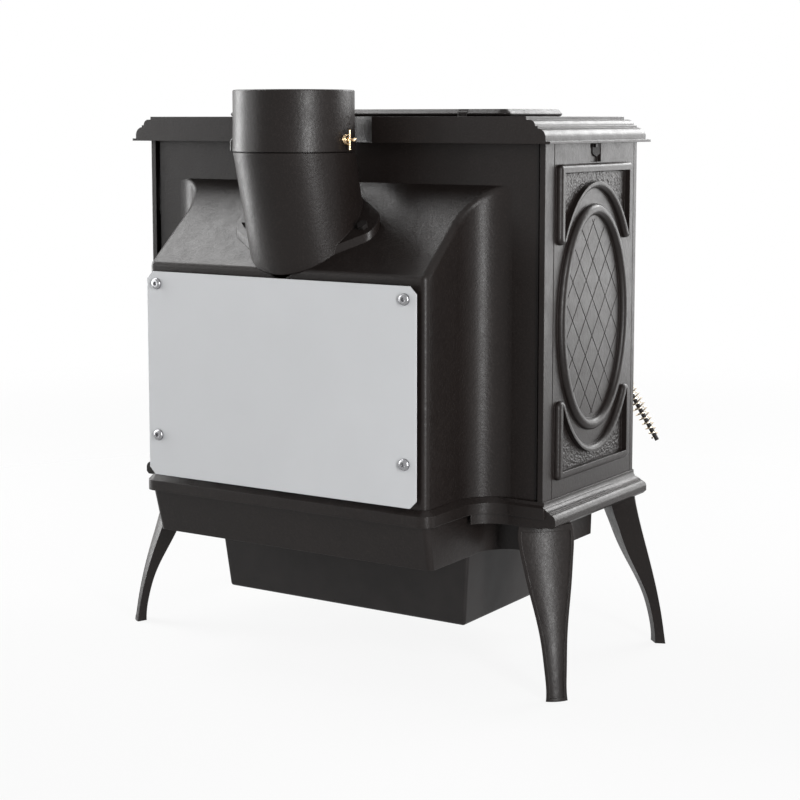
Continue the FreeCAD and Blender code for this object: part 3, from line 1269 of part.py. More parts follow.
def make_leg():
    """Curved leg of the +X, +Y corner: a loft that sweeps out to its toe, with a sunk panel in its face."""
    height = BAND_UNDER_Z
    leg = Part.makeLoft([leg_section(s * height, c, d, w) for s, c, d, w in LEG_SECTIONS], True, False)
    sunk = Part.makeLoft([leg_panel_section(s * height, c, w) for s, c, d, w in LEG_SECTIONS], True, False)
    sunk = sunk.common(box(-REACH, REACH, -REACH, REACH, LEG_BORDER, height - LEG_CAP_H))
    leg = leg.cut(sunk)
    leg.translate(Vector(FOOT_HALF_DEPTH, 0, 0))
    leg.rotate(Vector(0, 0, 0), UP, LEG_LEAN_DEG)
    leg.translate(Vector(FOOT_X, FOOT_Y, 0))
    return leg.cut(leg_bolt_holes())


def leg_bolt_places():
    """Centres of the leg bolts in plan."""
    _, come_in, depth, _ = LEG_SECTIONS[0]
    back = FOOT_HALF_DEPTH - come_in - depth / 2
    turn = math.radians(LEG_LEAN_DEG)
    x = FOOT_X + back * math.cos(turn)
    y = FOOT_Y + back * math.sin(turn)
    return [(a * x, b * y) for a in (-1, 1) for b in (-1, 1)]


def leg_bolt_holes():
    """Blind holes for the leg bolts, up into the base and down into the legs."""
    return Part.makeCompound([
        rod(Vector(x, y, BAND_UNDER_Z - LEG_BOLT_DEPTH), UP, LEG_BOLT_R, LEG_BOLT_DEPTH + LEG_BOLT_GRIP)
        for x, y in leg_bolt_places()
    ])


def make_leg_bolts():
    """Four studs that hold the legs to the base."""
    return Part.makeCompound([
        rod(Vector(x, y, BAND_UNDER_Z - LEG_BOLT_DEPTH + LEG_BOLT_CLEAR), UP, LEG_BOLT_R,
            LEG_BOLT_DEPTH + LEG_BOLT_GRIP - LEG_BOLT_CLEAR)
        for x, y in leg_bolt_places()
    ])


def make_front():
    """Front casting: short returns, canted corners and a flat front with the door's opening and lugs."""
    outer = wall_plan(0)
    inner = wall_plan(CAST)
    edge = SIDE_FRONT_Y - CASTING_GAP
    x = SIDE_X - CAST
    plan = [(SIDE_X, edge)] + outer + [(-SIDE_X, edge), (-x, edge)] + inner[::-1] + [(x, edge)]
    wall = prism(plan, BASE_TOP_Z, TOP_UNDER_Z)
    w = OPENING_HALF_X
    hole = box(-w, w, FRONT_Y - 1, FRONT_Y + CAST + 1, OPENING_BOTTOM_Z, OPENING_TOP_Z)
    lugs = []
    for middle in (HINGE_LOW_Z, HINGE_HIGH_Z):
        for start in (middle - KNUCKLE_H * 1.5 - KNUCKLE_GAP, middle + KNUCKLE_H / 2 + KNUCKLE_GAP):
            barrel = rod(Vector(HINGE_X, HINGE_Y, start), UP, HINGE_R, KNUCKLE_H)
            half = HINGE_R / 2
            web = box(HINGE_X - half, HINGE_X + half, HINGE_Y, FRONT_Y, start, start + KNUCKLE_H)
            lug = barrel.fuse(web).removeSplitter()
            lugs.append(lug.cut(rod(Vector(HINGE_X, HINGE_Y, start), UP, HINGE_PIN_R, KNUCKLE_H)))
    return joined([wall.cut(hole)] + lugs)


def make_hinge_pins():
    """Two door hinge pins with round heads."""
    pins = []
    for middle in (HINGE_LOW_Z, HINGE_HIGH_Z):
        bottom = middle - KNUCKLE_H * 1.5 - KNUCKLE_GAP
        length = 3 * KNUCKLE_H + 2 * KNUCKLE_GAP
        pin = rod(Vector(HINGE_X, HINGE_Y, bottom), UP, HINGE_PIN_R, length)
        head = rod(Vector(HINGE_X, HINGE_Y, bottom + length), UP, HINGE_R, HINGE_PIN_HEAD_H)
        pins.append(pin.fuse(head).removeSplitter())
    return Part.makeCompound(pins)


def rounded_slab(half, z0, z1, y0, y1, radius):
    """Upright slab with rounded corners, facing -Y."""
    slab = box(-half, half, y0, y1, z0, z1)
    return slab.makeFillet(radius, [e for e in slab.Edges if abs(e.tangentAt(e.FirstParameter).y) > 0.9])


def glass_sizes():
    """Half width and lower and upper edge of the door's clear opening."""
    return DOOR_HALF_X - DOOR_STILE, DOOR_BOTTOM_Z + DOOR_STILE, DOOR_TOP_Z - DOOR_STILE


def make_door():
    """Door frame with a rebate for the glass, knuckles, the spindle's bore and a groove for the seal."""
    half, low, high = glass_sizes()
    frame = rounded_slab(DOOR_HALF_X, DOOR_BOTTOM_Z, DOOR_TOP_Z, DOOR_FACE_Y, DOOR_BACK_Y, DOOR_ROUND)
    window = rounded_slab(half, low, high, DOOR_FACE_Y, DOOR_BACK_Y, DOOR_ROUND)
    lap = GLASS_LAP
    rebate = box(-half - lap, half + lap, DOOR_BACK_Y - GLASS_T, DOOR_BACK_Y, low - lap, high + lap)
    frame = frame.cut(window).cut(rebate)
    knuckles = []
    for middle in (HINGE_LOW_Z, HINGE_HIGH_Z):
        start = Vector(HINGE_X, HINGE_Y, middle - KNUCKLE_H / 2)
        web = box(DOOR_HALF_X - HINGE_R, HINGE_X, HINGE_Y - HINGE_R / 2, HINGE_Y + HINGE_R / 2,
                  middle - KNUCKLE_H / 2, middle + KNUCKLE_H / 2)
        barrel = rod(start, UP, HINGE_R, KNUCKLE_H).fuse(web).removeSplitter()
        knuckles.append(barrel.cut(rod(start, UP, HINGE_PIN_R + HINGE_BORE_GAP, KNUCKLE_H)))
    bore_r = SPINDLE_R + SPINDLE_BORE_GAP
    bore = rod(Vector(HANDLE_X, DOOR_BACK_Y + 1, HANDLE_Z), Vector(0, -1, 0), bore_r, DOOR_T + 2)
    return joined([frame] + knuckles).cut(bore).cut(door_rope())


def door_rope():
    """Rope seal on the back of the door, just outside the opening."""
    half = (OPENING_HALF_X + DOOR_HALF_X) / 2
    low = (OPENING_BOTTOM_Z + DOOR_BOTTOM_Z) / 2
    high = (OPENING_TOP_Z + DOOR_TOP_Z) / 2
    return rope_loop(half, low, high, DOOR_SEAL_R, DOOR_SEAL_BEND, lambda a, b: Vector(a, DOOR_BACK_Y, b))


def make_glass():
    """Door glass in the rebate."""
    half, low, high = glass_sizes()
    lap = GLASS_LAP - GLASS_CLEAR
    return box(-half - lap, half + lap, DOOR_BACK_Y - GLASS_T, DOOR_BACK_Y, low - lap, high + lap)


def make_glass_clips():
    """Four small plates that hold the glass in the door."""
    half, low, high = glass_sizes()
    y0, y1 = DOOR_BACK_Y, DOOR_BACK_Y + GLASS_CLIP_T
    w = GLASS_CLIP_W / 2
    reach = GLASS_CLIP_REACH + GLASS_LAP
    clips = []
    for x in (-half / 2, half / 2):
        clips.append(box(x - w, x + w, y0, y1, low - reach, low))
        clips.append(box(x - w, x + w, y0, y1, high, high + reach))
    return Part.makeCompound(clips)


def handle_place(along, side, deep):
    """Point on the door handle from a distance along its arm, one across it and one out from its plane."""
    lean = math.radians(HANDLE_LEAN_DEG)
    way = Vector(-math.sin(lean), 0, -math.cos(lean))
    across = Vector(math.cos(lean), 0, -math.sin(lean))
    return Vector(HANDLE_X, HANDLE_PLANE_Y, HANDLE_Z) + way * along + across * side + Vector(0, deep, 0)


def make_handle_arm():
    """Spindle through the door with its eye and the straight arm that carries the coil."""
    back = FRONT_Y + CAST + CAM_GAP + CAM_T
    start = Vector(HANDLE_X, back, HANDLE_Z)
    spindle = rod(start, Vector(0, -1, 0), SPINDLE_R, back - HANDLE_PLANE_Y + 2 * ARM_R)
    way = handle_place(1, 0, 0) - handle_place(0, 0, 0)
    arm = rod(handle_place(0, 0, 0), way, ARM_R, ARM_L)
    eye_y = HANDLE_PLANE_Y - 2 * ARM_R
    eye = rod(Vector(HANDLE_X, eye_y, HANDLE_Z), Vector(0, 1, 0), SPINDLE_R + 2 * ARM_R, 4 * ARM_R)
    return joined([spindle, eye, arm]).cut(cam_hole())


def cam_hole():
    """Cross hole for the cam's key at the inner end of the spindle."""
    y = FRONT_Y + CAST + CAM_GAP + CAM_T / 2
    return rod(Vector(HANDLE_X, y, HANDLE_Z - 2 * SPINDLE_R), UP, SPINDLE_R / 3, 4 * SPINDLE_R)


def make_latch_cam():
    """Latch cam on the spindle's inner end, standing clear of the wall as the handle hangs."""
    y0 = FRONT_Y + CAST + CAM_GAP
    half = CAM_W / 2
    arm = box(HANDLE_X - half, HANDLE_X + half, y0, y0 + CAM_T, HANDLE_Z, HANDLE_Z + CAM_L)
    hub = rod(Vector(HANDLE_X, y0, HANDLE_Z), Vector(0, 1, 0), SPINDLE_R + half, CAM_T)
    bore = rod(Vector(HANDLE_X, y0, HANDLE_Z), Vector(0, 1, 0), SPINDLE_R, CAM_T)
    key = rod(Vector(HANDLE_X, y0 + CAM_T / 2, HANDLE_Z - SPINDLE_R), UP, SPINDLE_R / 3, 2 * SPINDLE_R)
    return joined([arm.fuse(hub).cut(bore), key])


def make_handle_coil():
    """Barrel shaped wire coil round the handle's arm, which stays cool to the hand."""

    def radius_at(share):
        return COIL_END_R + (COIL_MID_R - COIL_END_R) * math.sin(math.pi * min(max(share, 0.0), 1.0))

    return coil_tube(
        lambda s, u, v: handle_place(COIL_START + s, u, v),
        COIL_TURNS, COIL_PITCH, radius_at, COIL_WIRE_R, "handle_coil",
    )


def make_side_brick():
    """Lining slab inside the +X side casting."""
    x1 = SIDE_X - CAST - BRICK_GAP
    rear = PANEL_Y - CAST - BRICK_GAP
    return box(x1 - BRICK_T, x1, FRONT_CORNER_Y + CAST, rear, BASE_TOP_Z, BASE_TOP_Z + BRICK_H)


def make_rear_brick():
    """Lining slab across the back of the firebox, low enough for the smoke to pass over it."""
    half = SIDE_X - CAST - BRICK_T - 2 * BRICK_GAP
    rear = PANEL_Y - CAST - BRICK_GAP
    return box(-half, half, rear - BRICK_T, rear, BASE_TOP_Z, BASE_TOP_Z + REAR_BRICK_H)


def make_baffle():
    """Baffle board that lies on the two side slabs."""
    z0 = BASE_TOP_Z + BRICK_H
    half = SIDE_X - CAST - 2 * BRICK_GAP
    rear = PANEL_Y - CAST - BRICK_GAP
    return box(-half, half, BAFFLE_FRONT_Y, rear, z0, z0 + BAFFLE_T)


def main():
    os.makedirs("parts", exist_ok=True)
    leg = make_leg()
    flip_y = lambda shape: shape.mirror(Vector(0, 0, 0), Vector(0, 1, 0))
    side = make_side_panel()
    brick = make_side_brick()
    clip = make_clip()
    nodes = {
        "top_plate": make_top_plate(),
        "lid": make_lid(),
        "lid_rope_seal": lid_rope(),
        "lid_hinge_pins": make_lid_pins(),
        "side_panel_left": side,
        "side_panel_right": mirror_x(side),
        "side_panel_clips": Part.makeCompound([clip, mirror_x(clip)]),
        "rear_casting": make_rear_casting(),
        "front_casting": make_front(),
        "base_casting": make_base(),
        "base_tray": make_tray(),
        "ash_box": make_ash_box(),
        "ash_drawer": make_ash_drawer(),
        "ash_drawer_pull": make_drawer_pull(),
        "leg_rear_left": leg,
        "leg_rear_right": mirror_x(leg),
        "leg_front_left": flip_y(leg),
        "leg_front_right": mirror_x(flip_y(leg)),
        "leg_studs": make_leg_bolts(),
        "heat_shield": make_shield(),
        "shield_spacers": make_spacers(),
        "shield_screws": make_shield_screws(),
        "flue_boot": make_boot(),
        "flue_collar": make_collar(),
        "boot_bolts": make_boot_bolts(),
        "damper_plate": make_damper_plate(),
        "damper_rod": make_damper_rod(),
        "damper_spring": make_damper_spring(),
        "door_frame": make_door(),
        "door_glass": make_glass(),
        "glass_clips": make_glass_clips(),
        "door_rope_seal": door_rope(),
        "door_hinge_pins": make_hinge_pins(),
        "handle_arm": make_handle_arm(),
        "handle_coil": make_handle_coil(),
        "latch_cam": make_latch_cam(),
        "air_shutter": make_air_shutter(),
        "grate": make_grate(),
        "firebrick_left": brick,
        "firebrick_right": mirror_x(brick),
        "firebrick_rear": make_rear_brick(),
        "baffle_board": make_baffle(),
    }
    for name, shape in nodes.items():
        shape.exportStep("parts/%s.step" % name)
        print(name, shape.isValid(), len(shape.Solids), round(shape.Volume / 1000.0, 1))


main()
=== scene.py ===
"""Looks of a cast iron wood stove: finishes, stippled grounds, rope seals, floor, light and camera."""

import math

import bmesh
import bpy
from bpy.props import FloatProperty, FloatVectorProperty, IntProperty, PointerProperty
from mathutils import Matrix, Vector, noise


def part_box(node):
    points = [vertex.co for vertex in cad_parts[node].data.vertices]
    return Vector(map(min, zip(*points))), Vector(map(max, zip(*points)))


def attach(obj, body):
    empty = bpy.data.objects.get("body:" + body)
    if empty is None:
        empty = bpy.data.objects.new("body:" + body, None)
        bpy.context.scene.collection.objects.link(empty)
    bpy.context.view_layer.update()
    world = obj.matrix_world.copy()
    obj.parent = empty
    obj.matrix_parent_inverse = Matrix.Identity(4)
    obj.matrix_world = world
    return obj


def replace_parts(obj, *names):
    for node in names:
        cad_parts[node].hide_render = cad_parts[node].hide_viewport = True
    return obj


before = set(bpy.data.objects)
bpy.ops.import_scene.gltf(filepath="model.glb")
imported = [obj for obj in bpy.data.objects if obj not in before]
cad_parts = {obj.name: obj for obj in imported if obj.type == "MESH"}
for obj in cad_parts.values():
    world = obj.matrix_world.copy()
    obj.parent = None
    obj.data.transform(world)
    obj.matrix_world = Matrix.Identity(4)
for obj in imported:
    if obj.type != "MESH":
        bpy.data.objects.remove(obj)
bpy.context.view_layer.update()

bl_info = {
    "name": "Cast Iron Stove",
    "version": (1, 0, 0),
    "blender": (4, 5, 0),
    "location": "3D View > Sidebar > Stove",
    "description": "Finishes, grounds, seals and stage of a cast iron wood stove",
    "category": "Object",
}

# Which nodes wear which finish
CASTINGS = (
    "top_plate", "lid", "side_panel_left", "side_panel_right", "rear_casting", "front_casting",
    "base_casting", "base_tray", "leg_rear_left", "leg_rear_right", "leg_front_left", "leg_front_right",
    "flue_boot", "flue_collar", "damper_plate", "door_frame", "grate",
)
STEEL_PARTS = (
    "lid_hinge_pins", "side_panel_clips", "ash_box", "ash_drawer", "leg_studs", "shield_spacers",
    "boot_bolts", "glass_clips", "door_hinge_pins", "handle_arm", "latch_cam", "air_shutter",
)
NICKEL_PARTS = ("ash_drawer_pull", "handle_coil")
GILT_PARTS = ("damper_rod", "damper_spring")
LININGS = ("firebrick_left", "firebrick_right", "firebrick_rear", "baffle_board")

# Damper wire, in metres
GILT_END_X = -0.075  # the damper's rod is plated from here outward
GILT_BLEND = 0.001

# Stippled grounds, with lengths in metres
GROUND_STEP = 0.0011  # spacing of the mesh along the side
GROUND_ROWS = 72
GROUND_MARGIN = 0.0006  # from the bead and the arch in to the ground
GROUND_SINK = 0.0003  # how far the rim lies inside the casting
GROUND_BACK = 0.001  # thickness of the plate at its rim
STIPPLE_SHIFT = 3.0  # parts the pattern of the upper grounds from that of the lower ones
STIPPLE_LEAST = 0.12  # lowest place of the stipple, as a share of its rise
STIPPLE_CREST = 1.05  # height at the middle of a pebble, before it is cut off at 1
STIPPLE_DRIFT = 0.3  # slow change of height from place to place
DRIFT_SCALE = 0.45  # how fast it changes, against the pebbles

# Rope seals, with lengths in metres
STRAND_SHARE = 0.47  # a strand's radius as a share of the rope's
TWIST_PITCH = 6.5  # length of one twist as a multiple of the rope's radius
STRAND_SIDES = 8
LID_ROPE_STEP = 0.0016  # spacing of the rings along a rope
DOOR_ROPE_STEP = 0.0018

# Rounded look of edges
EDGE_SAMPLES = 4
EDGE_FACING = 0.80  # rounded and flat normals this far apart count as a full edge

# Floor, light and camera, with lengths in metres and the sensor in millimetres
FLOOR_GREY = 0.45
FLOOR_GLOW = 0.90  # share of plain white in the floor, where it is seen
FLOOR_DROP = 0.0005
FADE_FROM = 0.12  # the floor fades out between these shares of its half width
FADE_TO = 0.36
SENSOR_WIDTH = 36.0
LAMP_TARGET = (0.0, 0.0, 0.45)
LAMPS = (  # name, place, width and height, watts
    ("right_strip", (-2.3, 1.42, 0.9), (0.4, 2.0), 85.0),
    ("front_box", (-1.5, -2.2, 1.0), (1.6, 2.0), 54.0),
    ("high_box", (-0.7, -2.1, 1.7), (1.4, 0.9), 45.0),
    ("top_box", (1.5, 0.15, 2.4), (1.2, 1.2), 46.0),
    ("left_strip", (2.5, 0.45, 0.9), (1.2, 2.0), 88.0),
    ("left_box", (2.6, 2.4, 1.0), (1.1, 1.6), 24.0),
)


def colour_prop(name, description, default):
    return FloatVectorProperty(
        name=name, description=description, subtype="COLOR", size=3, min=0.0, max=1.0, default=default,
    )


def length_prop(name, description, default):
    return FloatProperty(
        name=name, description=description, unit="LENGTH", subtype="DISTANCE", default=default,
    )


def factor_prop(name, description, default):
    return FloatProperty(
        name=name, description=description, subtype="FACTOR", min=0.0, max=1.0, default=default,
    )


class StoveFinish(bpy.types.PropertyGroup):
    """Colours and surface values of the stove's finishes."""

    iron: colour_prop("Iron", "Satin paint on the castings", (0.0085, 0.0064, 0.0058))
    iron_worn: colour_prop("Worn iron", "Paint where edges are rubbed", (0.030, 0.025, 0.023))
    iron_rough: factor_prop("Iron roughness", "Roughness of the paint", 0.36)
    grain: length_prop("Grain", "Size of the casting's sand grain", 0.0030)
    steel: colour_prop("Steel", "Black steel of fittings", (0.011, 0.0095, 0.0092))
    shield: colour_prop("Shield", "Coated sheet of the heat shield", (0.495, 0.503, 0.515))
    bright: colour_prop("Bright steel", "Polished screws", (0.30, 0.30, 0.31))
    nickel: colour_prop("Nickel", "Plated wire of the handle", (0.80, 0.72, 0.60))
    gilt: colour_prop("Gilt", "Warm plating of the damper's rod", (0.80, 0.62, 0.40))
    brick: colour_prop("Brick", "Refractory lining", (0.46, 0.38, 0.26))
    rope: colour_prop("Rope", "Glass fibre rope", (0.075, 0.070, 0.066))
    glass: colour_prop("Glass", "Door glass", (0.86, 0.90, 0.88))


class StoveSizes(bpy.types.PropertyGroup):
    """Places and sizes of the pieces made here, in the stove's frame."""

    face_x: length_prop("Side face", "Outer face of a side casting", 0.3343)
    oval_y: length_prop("Oval middle", "Middle of the ornament along the side", 0.013)
    oval_z: length_prop("Oval height", "Height of the ornament's middle", 0.4975)
    field_half: length_prop("Ground half width", "Half width of a stippled ground", 0.0975)
    field_top: length_prop("Ground top", "Upper edge of the upper ground", 0.698)
    arch_y: length_prop("Arch half width", "Half width of the arch below the ground", 0.120)
    arch_z: length_prop("Arch rise", "Half height of the arch below the ground", 0.1865)
    pebble: length_prop("Pebble", "Spacing of the stipple", 0.0030)
    pebble_rise: length_prop("Pebble rise", "Height of the stipple", 0.0012)
    lid_rope_half: length_prop("Lid rope half width", "Half width of the lid's seal", 0.232)
    lid_rope_front: length_prop("Lid rope front", "Front line of the lid's seal", -0.075)
    lid_rope_rear: length_prop("Lid rope rear", "Rear line of the lid's seal", 0.076)
    door_rope_half: length_prop("Door rope half width", "Half width of the door's seal", 0.264)
    door_rope_low: length_prop("Door rope foot", "Lower line of the door's seal", 0.294)
    door_rope_high: length_prop("Door rope top", "Upper line of the door's seal", 0.698)
    lid_bend: length_prop("Lid rope bend", "Corner bend of the lid's seal", 0.012)
    door_bend: length_prop("Door rope bend", "Corner bend of the door's seal", 0.0144)
    strands: IntProperty(name="Strands", description="Strands twisted into a rope", default=3, min=2, max=6)


class StoveStage(bpy.types.PropertyGroup):
    """Camera, floor and light."""

    camera_at: FloatVectorProperty(
        name="Camera", description="Place of the camera", subtype="TRANSLATION", unit="LENGTH", size=3,
        default=(-1.449, 2.2298, 0.7684),
    )
    turn: FloatProperty(
        name="Turn", description="Turn of the camera about the upright", subtype="ANGLE", unit="ROTATION",
        default=math.radians(212.819),
    )
    tilt: FloatProperty(
        name="Tilt", description="Tilt of the camera from straight down", subtype="ANGLE", unit="ROTATION",
        default=math.radians(83.637),
    )
    lens: FloatProperty(name="Lens", description="Focal length in millimetres", unit="CAMERA", default=81.038)
    shift: FloatProperty(
        name="Shift", description="Rise of the lens as a share of the picture", default=-0.10,
    )
    floor_half: length_prop("Floor", "Half width of the floor", 9.0)
    ambient: FloatProperty(name="Ambient", description="Even light from all sides", default=0.08)


class Shade:
    """Node tree of one finish, with short calls that add and join nodes."""

    def __init__(self, name):
        self.material = bpy.data.materials.new(name)
        self.material.use_nodes = True
        self.nodes = self.material.node_tree.nodes
        self.links = self.material.node_tree.links
        self.bsdf = self.nodes["Principled BSDF"]
        self.place = self.nodes.new("ShaderNodeTexCoord").outputs["Object"]

    def join(self, source, socket):
        self.links.new(source, socket)

    def noise(self, scale, detail=3.0, rough=0.55):
        node = self.nodes.new("ShaderNodeTexNoise")
        node.inputs["Scale"].default_value = scale
        node.inputs["Detail"].default_value = detail
        node.inputs["Roughness"].default_value = rough
        self.join(self.place, node.inputs["Vector"])
        return node.outputs["Fac"]

    def cells(self, scale):
        node = self.nodes.new("ShaderNodeTexVoronoi")
        node.feature = "SMOOTH_F1"
        node.inputs["Scale"].default_value = scale
        self.join(self.place, node.inputs["Vector"])
        return node.outputs["Distance"]

    def spread(self, value, low, high, to_low, to_high):
        node = self.nodes.new("ShaderNodeMapRange")
        for name, number in (("From Min", low), ("From Max", high), ("To Min", to_low), ("To Max", to_high)):
            node.inputs[name].default_value = number
        self.join(value, node.inputs["Value"])
        return node.outputs["Result"]

    def maths(self, operation, a, b):
        node = self.nodes.new("ShaderNodeMath")
        node.operation = operation
        for socket, value in zip(node.inputs, (a, b)):
            if isinstance(value, (int, float)):
                socket.default_value = value
            else:
                self.join(value, socket)
        return node.outputs["Value"]

    def mix(self, factor, a, b):
        node = self.nodes.new("ShaderNodeMix")
        node.data_type = "RGBA"
        self.join(factor, node.inputs["Factor"])
        for name, colour in (("A", a), ("B", b)):
            socket = next(s for s in node.inputs if s.name == name and s.type == "RGBA")
            if isinstance(colour, bpy.types.NodeSocket):
                self.join(colour, socket)
            else:
                socket.default_value = (*colour, 1.0)
        return next(s for s in node.outputs if s.type == "RGBA")

    def mottle(self, value, colour, dark, light, low=0.3, high=0.7):
        """Colour that runs between two brightnesses of itself as a value rises."""
        share = self.spread(value, low, high, 0.0, 1.0)
        return self.mix(share, lighter(colour, dark), lighter(colour, light))

    def colour(self, source):
        self.join(source, self.bsdf.inputs["Base Color"])

    def rough(self, source):
        self.join(source, self.bsdf.inputs["Roughness"])

    def edges(self, radius):
        """Rounded normal, and a value that rises from 0 towards the edges."""
        bevel = self.nodes.new("ShaderNodeBevel")
        bevel.samples = EDGE_SAMPLES
        bevel.inputs["Radius"].default_value = radius
        facing = self.nodes.new("ShaderNodeVectorMath")
        facing.operation = "DOT_PRODUCT"
        self.join(bevel.outputs["Normal"], facing.inputs[0])
        self.join(self.nodes.new("ShaderNodeNewGeometry").outputs["Normal"], facing.inputs[1])
        return bevel.outputs["Normal"], self.spread(facing.outputs["Value"], 1.0, EDGE_FACING, 0.0, 1.0)

    def bump(self, height, distance, strength, normal=None):
        node = self.nodes.new("ShaderNodeBump")
        node.inputs["Distance"].default_value = distance
        node.inputs["Strength"].default_value = strength
        self.join(height, node.inputs["Height"])
        if normal is not None:
            self.join(normal, node.inputs["Normal"])
        self.join(node.outputs["Normal"], self.bsdf.inputs["Normal"])

    def set(self, **values):
        names = {
            "metallic": "Metallic", "specular": "Specular IOR Level", "ior": "IOR",
            "clear": "Transmission Weight",
        }
        for key, value in values.items():
            self.bsdf.inputs[names[key]].default_value = value


def lighter(colour, factor):
    """Colour times a factor, kept below 1."""
    return tuple(min(1.0, c * factor) for c in colour)


def iron_paint(finish):
    """Satin stove paint over sand cast iron."""
    shade = Shade("iron_paint")
    fine = shade.noise(1.0 / finish.grain, 3.0, 0.62)
    pits = shade.cells(0.6 / finish.grain)
    broad = shade.noise(7.0, 4.0)
    cloudy = shade.noise(46.0, 4.0, 0.6)
    rounded, edge = shade.edges(0.0013)
    base = shade.mottle(broad, finish.iron, 0.85, 1.15)
    speck = shade.mix(shade.spread(fine, 0.52, 0.74, 0.0, 0.55), base, lighter(finish.iron, 2.1))
    worn = shade.maths("MULTIPLY", edge, shade.spread(cloudy, 0.35, 0.65, 0.15, 0.7))
    shade.colour(shade.mix(worn, speck, tuple(finish.iron_worn)))
    patches = shade.spread(cloudy, 0.25, 0.75, -0.05, 0.05)
    grains = shade.spread(fine, 0.3, 0.7, -0.05, 0.07)
    shade.rough(shade.maths("ADD", shade.maths("ADD", patches, grains), finish.iron_rough))
    shade.set(specular=0.20)
    height = shade.maths("ADD", fine, shade.maths("MULTIPLY", pits, 0.45))
    shade.bump(height, 0.0006, 0.34, rounded)
    return shade.material


def black_steel(finish):
    """Smoother blackened steel of small fittings and sheet."""
    shade = Shade("black_steel")
    fine = shade.noise(900.0, 2.0)
    cloudy = shade.noise(30.0, 4.0)
    rounded, edge = shade.edges(0.0006)
    base = shade.mottle(cloudy, finish.steel, 0.8, 1.25)
    worn = shade.maths("MULTIPLY", edge, shade.spread(cloudy, 0.35, 0.65, 0.1, 0.6))
    shade.colour(shade.mix(worn, base, lighter(finish.steel, 5.0)))
    shade.rough(shade.spread(cloudy, 0.25, 0.75, 0.40, 0.54))
    shade.set(specular=0.2)
    shade.bump(fine, 0.0002, 0.15, rounded)
    return shade.material


def shield_coat(finish):
    """Pale satin coat on rolled sheet, with faint rolling streaks."""
    shade = Shade("shield_coat")
    stretch = shade.nodes.new("ShaderNodeMapping")
    stretch.inputs["Scale"].default_value = (6.0, 6.0, 420.0)
    shade.join(shade.place, stretch.inputs["Vector"])
    shade.place = stretch.outputs["Vector"]
    streak = shade.noise(1.0, 3.0)
    shade.place = shade.nodes["Texture Coordinate"].outputs["Object"]
    broad = shade.noise(5.0, 3.0)
    fine = shade.noise(1100.0, 2.0)
    rounded, edge = shade.edges(0.0006)
    base = shade.mottle(broad, finish.shield, 0.97, 1.02)
    worn = shade.maths("MULTIPLY", edge, 0.5)
    shade.colour(shade.mix(worn, base, lighter(finish.shield, 1.25)))
    shade.rough(shade.spread(streak, 0.3, 0.7, 0.34, 0.42))
    shade.set(metallic=0.05, specular=0.3)
    shade.bump(fine, 0.0001, 0.08, rounded)
    return shade.material


def plated(name, colour, rough, streak_scale):
    """Plated metal with fine drawn marks and dull patches."""
    shade = Shade(name)
    marks = shade.noise(streak_scale, 3.0)
    dull = shade.noise(90.0, 3.0)
    rounded, edge = shade.edges(0.0003)
    tone = shade.mottle(dull, colour, 0.82, 1.06)
    shade.colour(shade.mix(shade.maths("MULTIPLY", edge, 0.4), tone, lighter(colour, 1.3)))
    shade.rough(shade.spread(marks, 0.3, 0.7, rough * 0.75, rough * 1.35))
    shade.set(metallic=1.0)
    shade.bump(marks, 0.00005, 0.12, rounded)
    return shade.material


def gilt_rod(finish):
    """Damper wire: warm plating at the spring and the cross bar, black inside the flue and on the tail."""
    material = plated("gilt_wire", finish.gilt, 0.24, 1500.0)
    nodes, links = material.node_tree.nodes, material.node_tree.links
    bsdf = nodes["Principled BSDF"]
    split = nodes.new("ShaderNodeSeparateXYZ")
    links.new(nodes["Texture Coordinate"].outputs["Object"], split.inputs["Vector"])
    black = nodes.new("ShaderNodeMapRange")
    black.inputs["From Min"].default_value = GILT_END_X
    black.inputs["From Max"].default_value = GILT_END_X + GILT_BLEND
    links.new(split.outputs["X"], black.inputs["Value"])
    tone = nodes.new("ShaderNodeMix")
    tone.data_type = "RGBA"
    links.new(black.outputs["Result"], tone.inputs["Factor"])
    first, second = (s for s in tone.inputs if s.type == "RGBA")
    links.new(bsdf.inputs["Base Color"].links[0].from_socket, first)
    second.default_value = (*finish.steel, 1.0)
    links.new(next(s for s in tone.outputs if s.type == "RGBA"), bsdf.inputs["Base Color"])
    plating = nodes.new("ShaderNodeMath")
    plating.operation = "SUBTRACT"
    plating.inputs[0].default_value = 1.0
    links.new(black.outputs["Result"], plating.inputs[1])
    links.new(plating.outputs["Value"], bsdf.inputs["Metallic"])
    return material


def refractory(finish):
    """Rough pressed lining with flakes and scorched patches."""
    shade = Shade("refractory_lining")
    flakes = shade.cells(220.0)
    fine = shade.noise(600.0, 4.0, 0.65)
    soot = shade.noise(6.0, 5.0, 0.6)
    rounded, edge = shade.edges(0.0015)
    tone = shade.mottle(flakes, finish.brick, 1.15, 0.75, 0.2, 0.6)
    stained = shade.mix(shade.spread(soot, 0.5, 0.8, 0.0, 0.7), tone, lighter(finish.brick, 0.3))
    shade.colour(shade.mix(shade.maths("MULTIPLY", edge, 0.5), stained, lighter(finish.brick, 1.4)))
    shade.rough(shade.spread(fine, 0.3, 0.7, 0.82, 0.98))
    shade.set(specular=0.2)
    shade.bump(shade.maths("ADD", fine, flakes), 0.0008, 0.5, rounded)
    return shade.material


